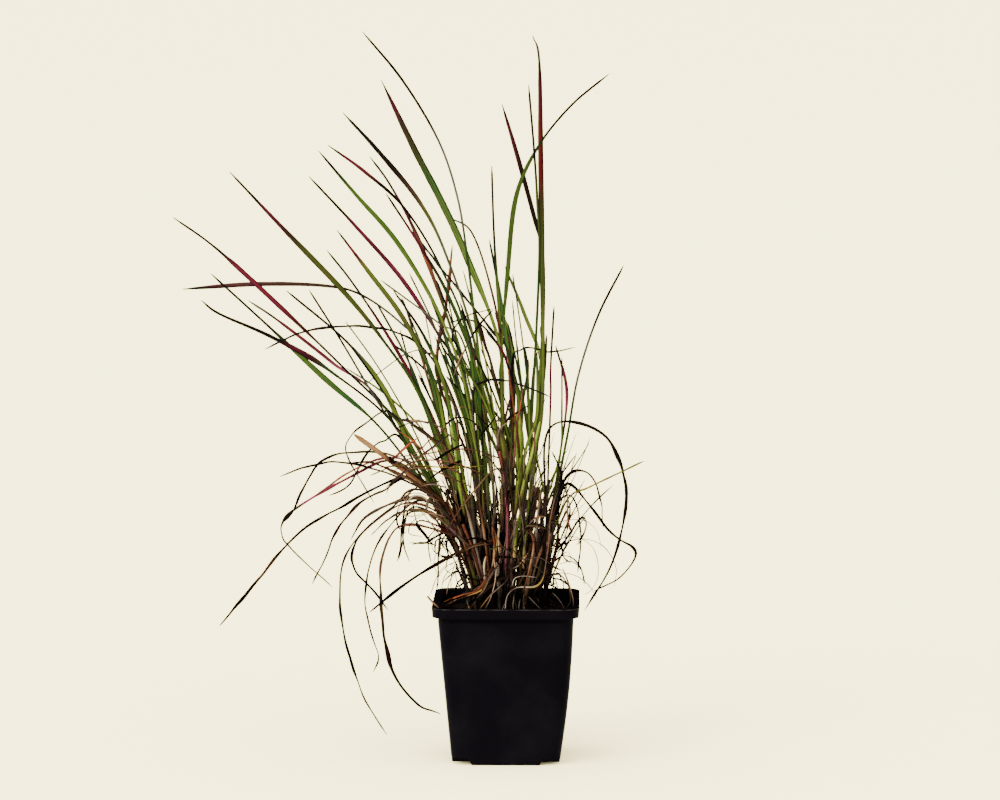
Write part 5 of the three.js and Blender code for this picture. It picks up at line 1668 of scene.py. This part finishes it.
# The soil
def make_soil():
    """The soil: it fills the pot, clear of the walls and the raised corners."""
    fill = inner_block(POT_WALL + SOIL_GAP, POT_FLOOR + SOIL_GAP, SOIL_TOP)
    top = [face for face in fill.faces if face.normal.z > 0.9]
    bmesh.ops.triangulate(fill, faces=top)
    fill = carve(fill, corner_blocks(POT_WALL + SOIL_GAP), "DIFFERENCE")
    soil = finish_piece("compost", fill, soil_finish(), smooth=False)
    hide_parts("potting_soil")
    return soil


def make_crumbs(material):
    """Crumbs and bits of bark that lie on the soil."""
    dice = make_random(CRUMB_SEED)
    bm = bmesh.new()
    for _ in range(CRUMB_COUNT):
        x = CRUMB_FIELD * (dice() - 0.5)
        y = CRUMB_FIELD * (dice() - 0.5)
        smallest, largest = CRUMB_SIZE
        size = smallest + (largest - smallest) * dice() ** 2
        crumb = bmesh.ops.create_icosphere(bm, subdivisions=1, radius=size)["verts"]
        for vert in crumb:
            vert.co *= drawn(CRUMB_DENT, dice)
        bmesh.ops.scale(bm, vec=[drawn(stretch, dice) for stretch in CRUMB_STRETCH], verts=crumb)
        turn = Matrix.Rotation(FULL_TURN * dice(), 3, "Z")
        bmesh.ops.rotate(bm, cent=(0, 0, 0), matrix=turn, verts=crumb)
        bmesh.ops.translate(bm, vec=(x, y, SOIL_TOP + CRUMB_LIFT), verts=crumb)
        to_metres(bm, crumb)
    return finish_piece("soil_crumbs", bm, material, smooth=False)


# The plant
def streak_colours(sheath, seed):
    """Streaks that run up a stem, where its sheaths have split and aged."""
    dice = make_random(STREAK_SEED + seed)
    tone = SHEATH_TONES[seed % len(SHEATH_TONES)]

    def pick():
        if dice() > STREAK_SHARE:
            return np.array(COLOURS[tone])
        return np.array(COLOURS[SHEATH_STREAKS[int(dice() * len(SHEATH_STREAKS))]])

    rows = np.zeros((STEM_RINGS + 1, STEM_SIDES, 3))
    for side in range(STEM_SIDES):
        streak = pick()
        for ring in range(STEM_RINGS + 1):
            if dice() < STREAK_BREAK:
                streak = pick()
            fresh = np.interp(ring / STEM_RINGS, FRESH_SHARES, (0, SHEATH_SHARE))
            shaded = streak * drawn(STREAK_SHADE, dice)
            rows[ring, side] = shaded * (1 - fresh) + np.array(COLOURS[sheath]) * fresh

    def colour_at(share, angle):
        ring = np.rint(share * STEM_RINGS).astype(int)
        side = np.rint(-angle / (2 * math.pi) * STEM_SIDES).astype(int) % STEM_SIDES
        return np.clip(rows[ring, side], 0, 1)

    return colour_at


def make_plant(plant, living, dry):
    """A stem with everything that grows on it. It replaces the node of its name."""
    number = plant["number"]
    bm, layers = new_bmesh()
    for order, strand in enumerate(plant["strands"]):
        columns = WIDE_COLUMNS if strand["width"] > WIDE_LEAF else NARROW_COLUMNS
        add_blade(bm, layers, strand, SEEDS_PER_STEM * number + order, columns, RING_LENGTH)
    thicken(bm)

    def radius_at(share):
        from_knot = (share * KNOT_COUNT + number * KNOT_SHIFT) % 1 - 0.5
        knots = KNOT_HEIGHT * np.exp(-from_knot ** 2 * KNOT_SHARPNESS)
        return STEM_SHARE * (FOOT_RADIUS + (COLLAR_RADIUS - FOOT_RADIUS) * share) + knots

    streaks = streak_colours(plant["sheath"], number)
    add_tube(bm, layers, plant["points"], STEM_SIDES, STEM_RINGS, radius_at, streaks)
    material = dry if plant["name"].startswith("dry") else living
    piece = finish_piece(plant["name"] + "_grown", bm, material)
    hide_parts(plant["name"])
    return piece


def make_fine_strands(name, clump, sort, material):
    """Strands of one fine sort, each from a point of a stem."""
    dice = make_random(sort["seed"])
    bm, layers = new_bmesh()
    for number in range(sort["count"]):
        plant = clump.plants[int(dice() * len(clump.plants))]
        path, width, roll = draw_way(plant, sort, dice)
        for point in path[1:]:
            point += sort["kink"] * jolt(dice)
        if not all(is_above_pot(point) and point[2] > SOIL_TOP + SOIL_CLEAR for point in path):
            continue
        if sort["bundled"] and not all(is_in_bundle(point) for point in path):
            continue
        strand = {
            "colouring": sort["colourings"][int(dice() * len(sort["colourings"]))],
            "points": path,
            "width": width,
            "roll": FINE_ROLL * roll,
            "twist": FINE_TWIST * either_way(dice),
        }
        add_blade(bm, layers, strand, sort["seed"] + number, FINE_COLUMNS, FINE_RING_LENGTH)
    thicken(bm)
    return finish_piece(name, bm, material)


def make_straws(material):
    """The straws, roots and scraps in front of the crown."""
    bm, layers = new_bmesh()
    for number, (colouring, width, depth, *spots) in enumerate(STRAWS):
        path = []
        for order, (x, height) in enumerate(spots):
            path.append(spot(x, height, depth + STRAW_SWAY * math.sin(order + number)))
        strand = {
            "colouring": colouring,
            "points": path,
            "width": STRAW_SHARE * width,
            "roll": STRAW_TURN,
            "twist": STRAW_TURN,
            "lift": STRAW_LIFT,
        }
        add_blade(bm, layers, strand, STRAW_SEED + number, NARROW_COLUMNS, STRAW_RING_LENGTH)
    thicken(bm)
    return finish_piece("straws_and_roots", bm, material)


# The stage
def make_floor():
    """The stage, which throws no light back on the plant."""
    bm = bmesh.new()
    bmesh.ops.create_grid(bm, x_segments=1, y_segments=1, size=FLOOR_REACH)
    mesh = bpy.data.meshes.new("floor")
    bm.to_mesh(mesh)
    bm.free()
    mesh.materials.append(floor_finish())
    floor = bpy.data.objects.new("floor", mesh)
    bpy.context.scene.collection.objects.link(floor)
    floor.visible_diffuse = False
    floor.visible_glossy = False
    return floor


def make_camera():
    """The photo's view, which looks at the plant a little from the right and from above."""
    azimuth = math.radians(CAMERA_AZIMUTH)
    elevation = math.radians(CAMERA_ELEVATION)
    level = Vector((math.sin(azimuth), -math.cos(azimuth), 0))
    back = level * math.cos(elevation) + Vector((0, 0, math.sin(elevation)))
    right = Vector((math.cos(azimuth), math.sin(azimuth), 0))
    up = back.cross(right)
    lens = bpy.data.cameras.new("camera")
    lens.sensor_width = SENSOR
    lens.lens = VIEW_FOCUS / VIEW_WIDTH * SENSOR
    lens.clip_end = 2 * FLOOR_REACH
    camera = bpy.data.objects.new("camera", lens)
    place = Matrix.Translation(Vector(CAMERA_TARGET) + back * CAMERA_DISTANCE)
    camera.matrix_world = place @ Matrix((right, up, back)).transposed().to_4x4()
    bpy.context.scene.collection.objects.link(camera)
    bpy.context.scene.camera = camera


def add_sun(name, strength, breadth, towards):
    """An even lamp, which stands in the way given."""
    light = bpy.data.lights.new(name, "SUN")
    light.energy = strength
    light.angle = math.radians(breadth)
    sun = bpy.data.objects.new(name, light)
    sun.rotation_euler = (-Vector(towards)).to_track_quat("-Z", "Y").to_euler()
    bpy.context.scene.collection.objects.link(sun)
    return sun


def make_light(floor):
    """A soft key light and an even surround. The floor has a lamp of its own, as a backdrop has."""
    add_sun("key_light", *KEY_LIGHT)
    floor_light = add_sun("floor_light", *FLOOR_LIGHT)
    lit = bpy.data.collections.new("lit_floor")
    lit.objects.link(floor)
    floor_light.light_linking.receiver_collection = lit
    world = bpy.data.worlds.new("studio")
    world.use_nodes = True
    background = world.node_tree.nodes["Background"]
    background.inputs["Color"].default_value = SURROUND_COLOUR
    background.inputs["Strength"].default_value = SURROUND_STRENGTH
    bpy.context.scene.world = world


# The scene
make_camera()
make_light(make_floor())
make_pot()
soil = make_soil()
make_crumbs(soil.data.materials[0])
living_leaf = leaf_finish("living_leaf", roughness=0.42, shine=0.09, mottle=0.14, vein_depth=0.35)
dry_leaf = leaf_finish("dry_leaf", roughness=0.68, shine=0.04, mottle=0.3, vein_depth=0.5)
clump = grow_clump()
for plant in clump.plants:
    make_plant(plant, living_leaf, dry_leaf)
make_fine_strands("fine_leaves", clump, FINE_LEAF, living_leaf)
make_fine_strands("fine_thatch", clump, FINE_THATCH, dry_leaf)
make_fine_strands("base_fibres", clump, BASE_FIBRE, dry_leaf)
make_fine_strands("sheath_scraps", clump, SHEATH_SCRAP, dry_leaf)
make_fine_strands("curled_wisps", clump, WISP, dry_leaf)
make_straws(dry_leaf)
make_fine_strands("hair_roots", clump, HAIR_ROOT, dry_leaf)
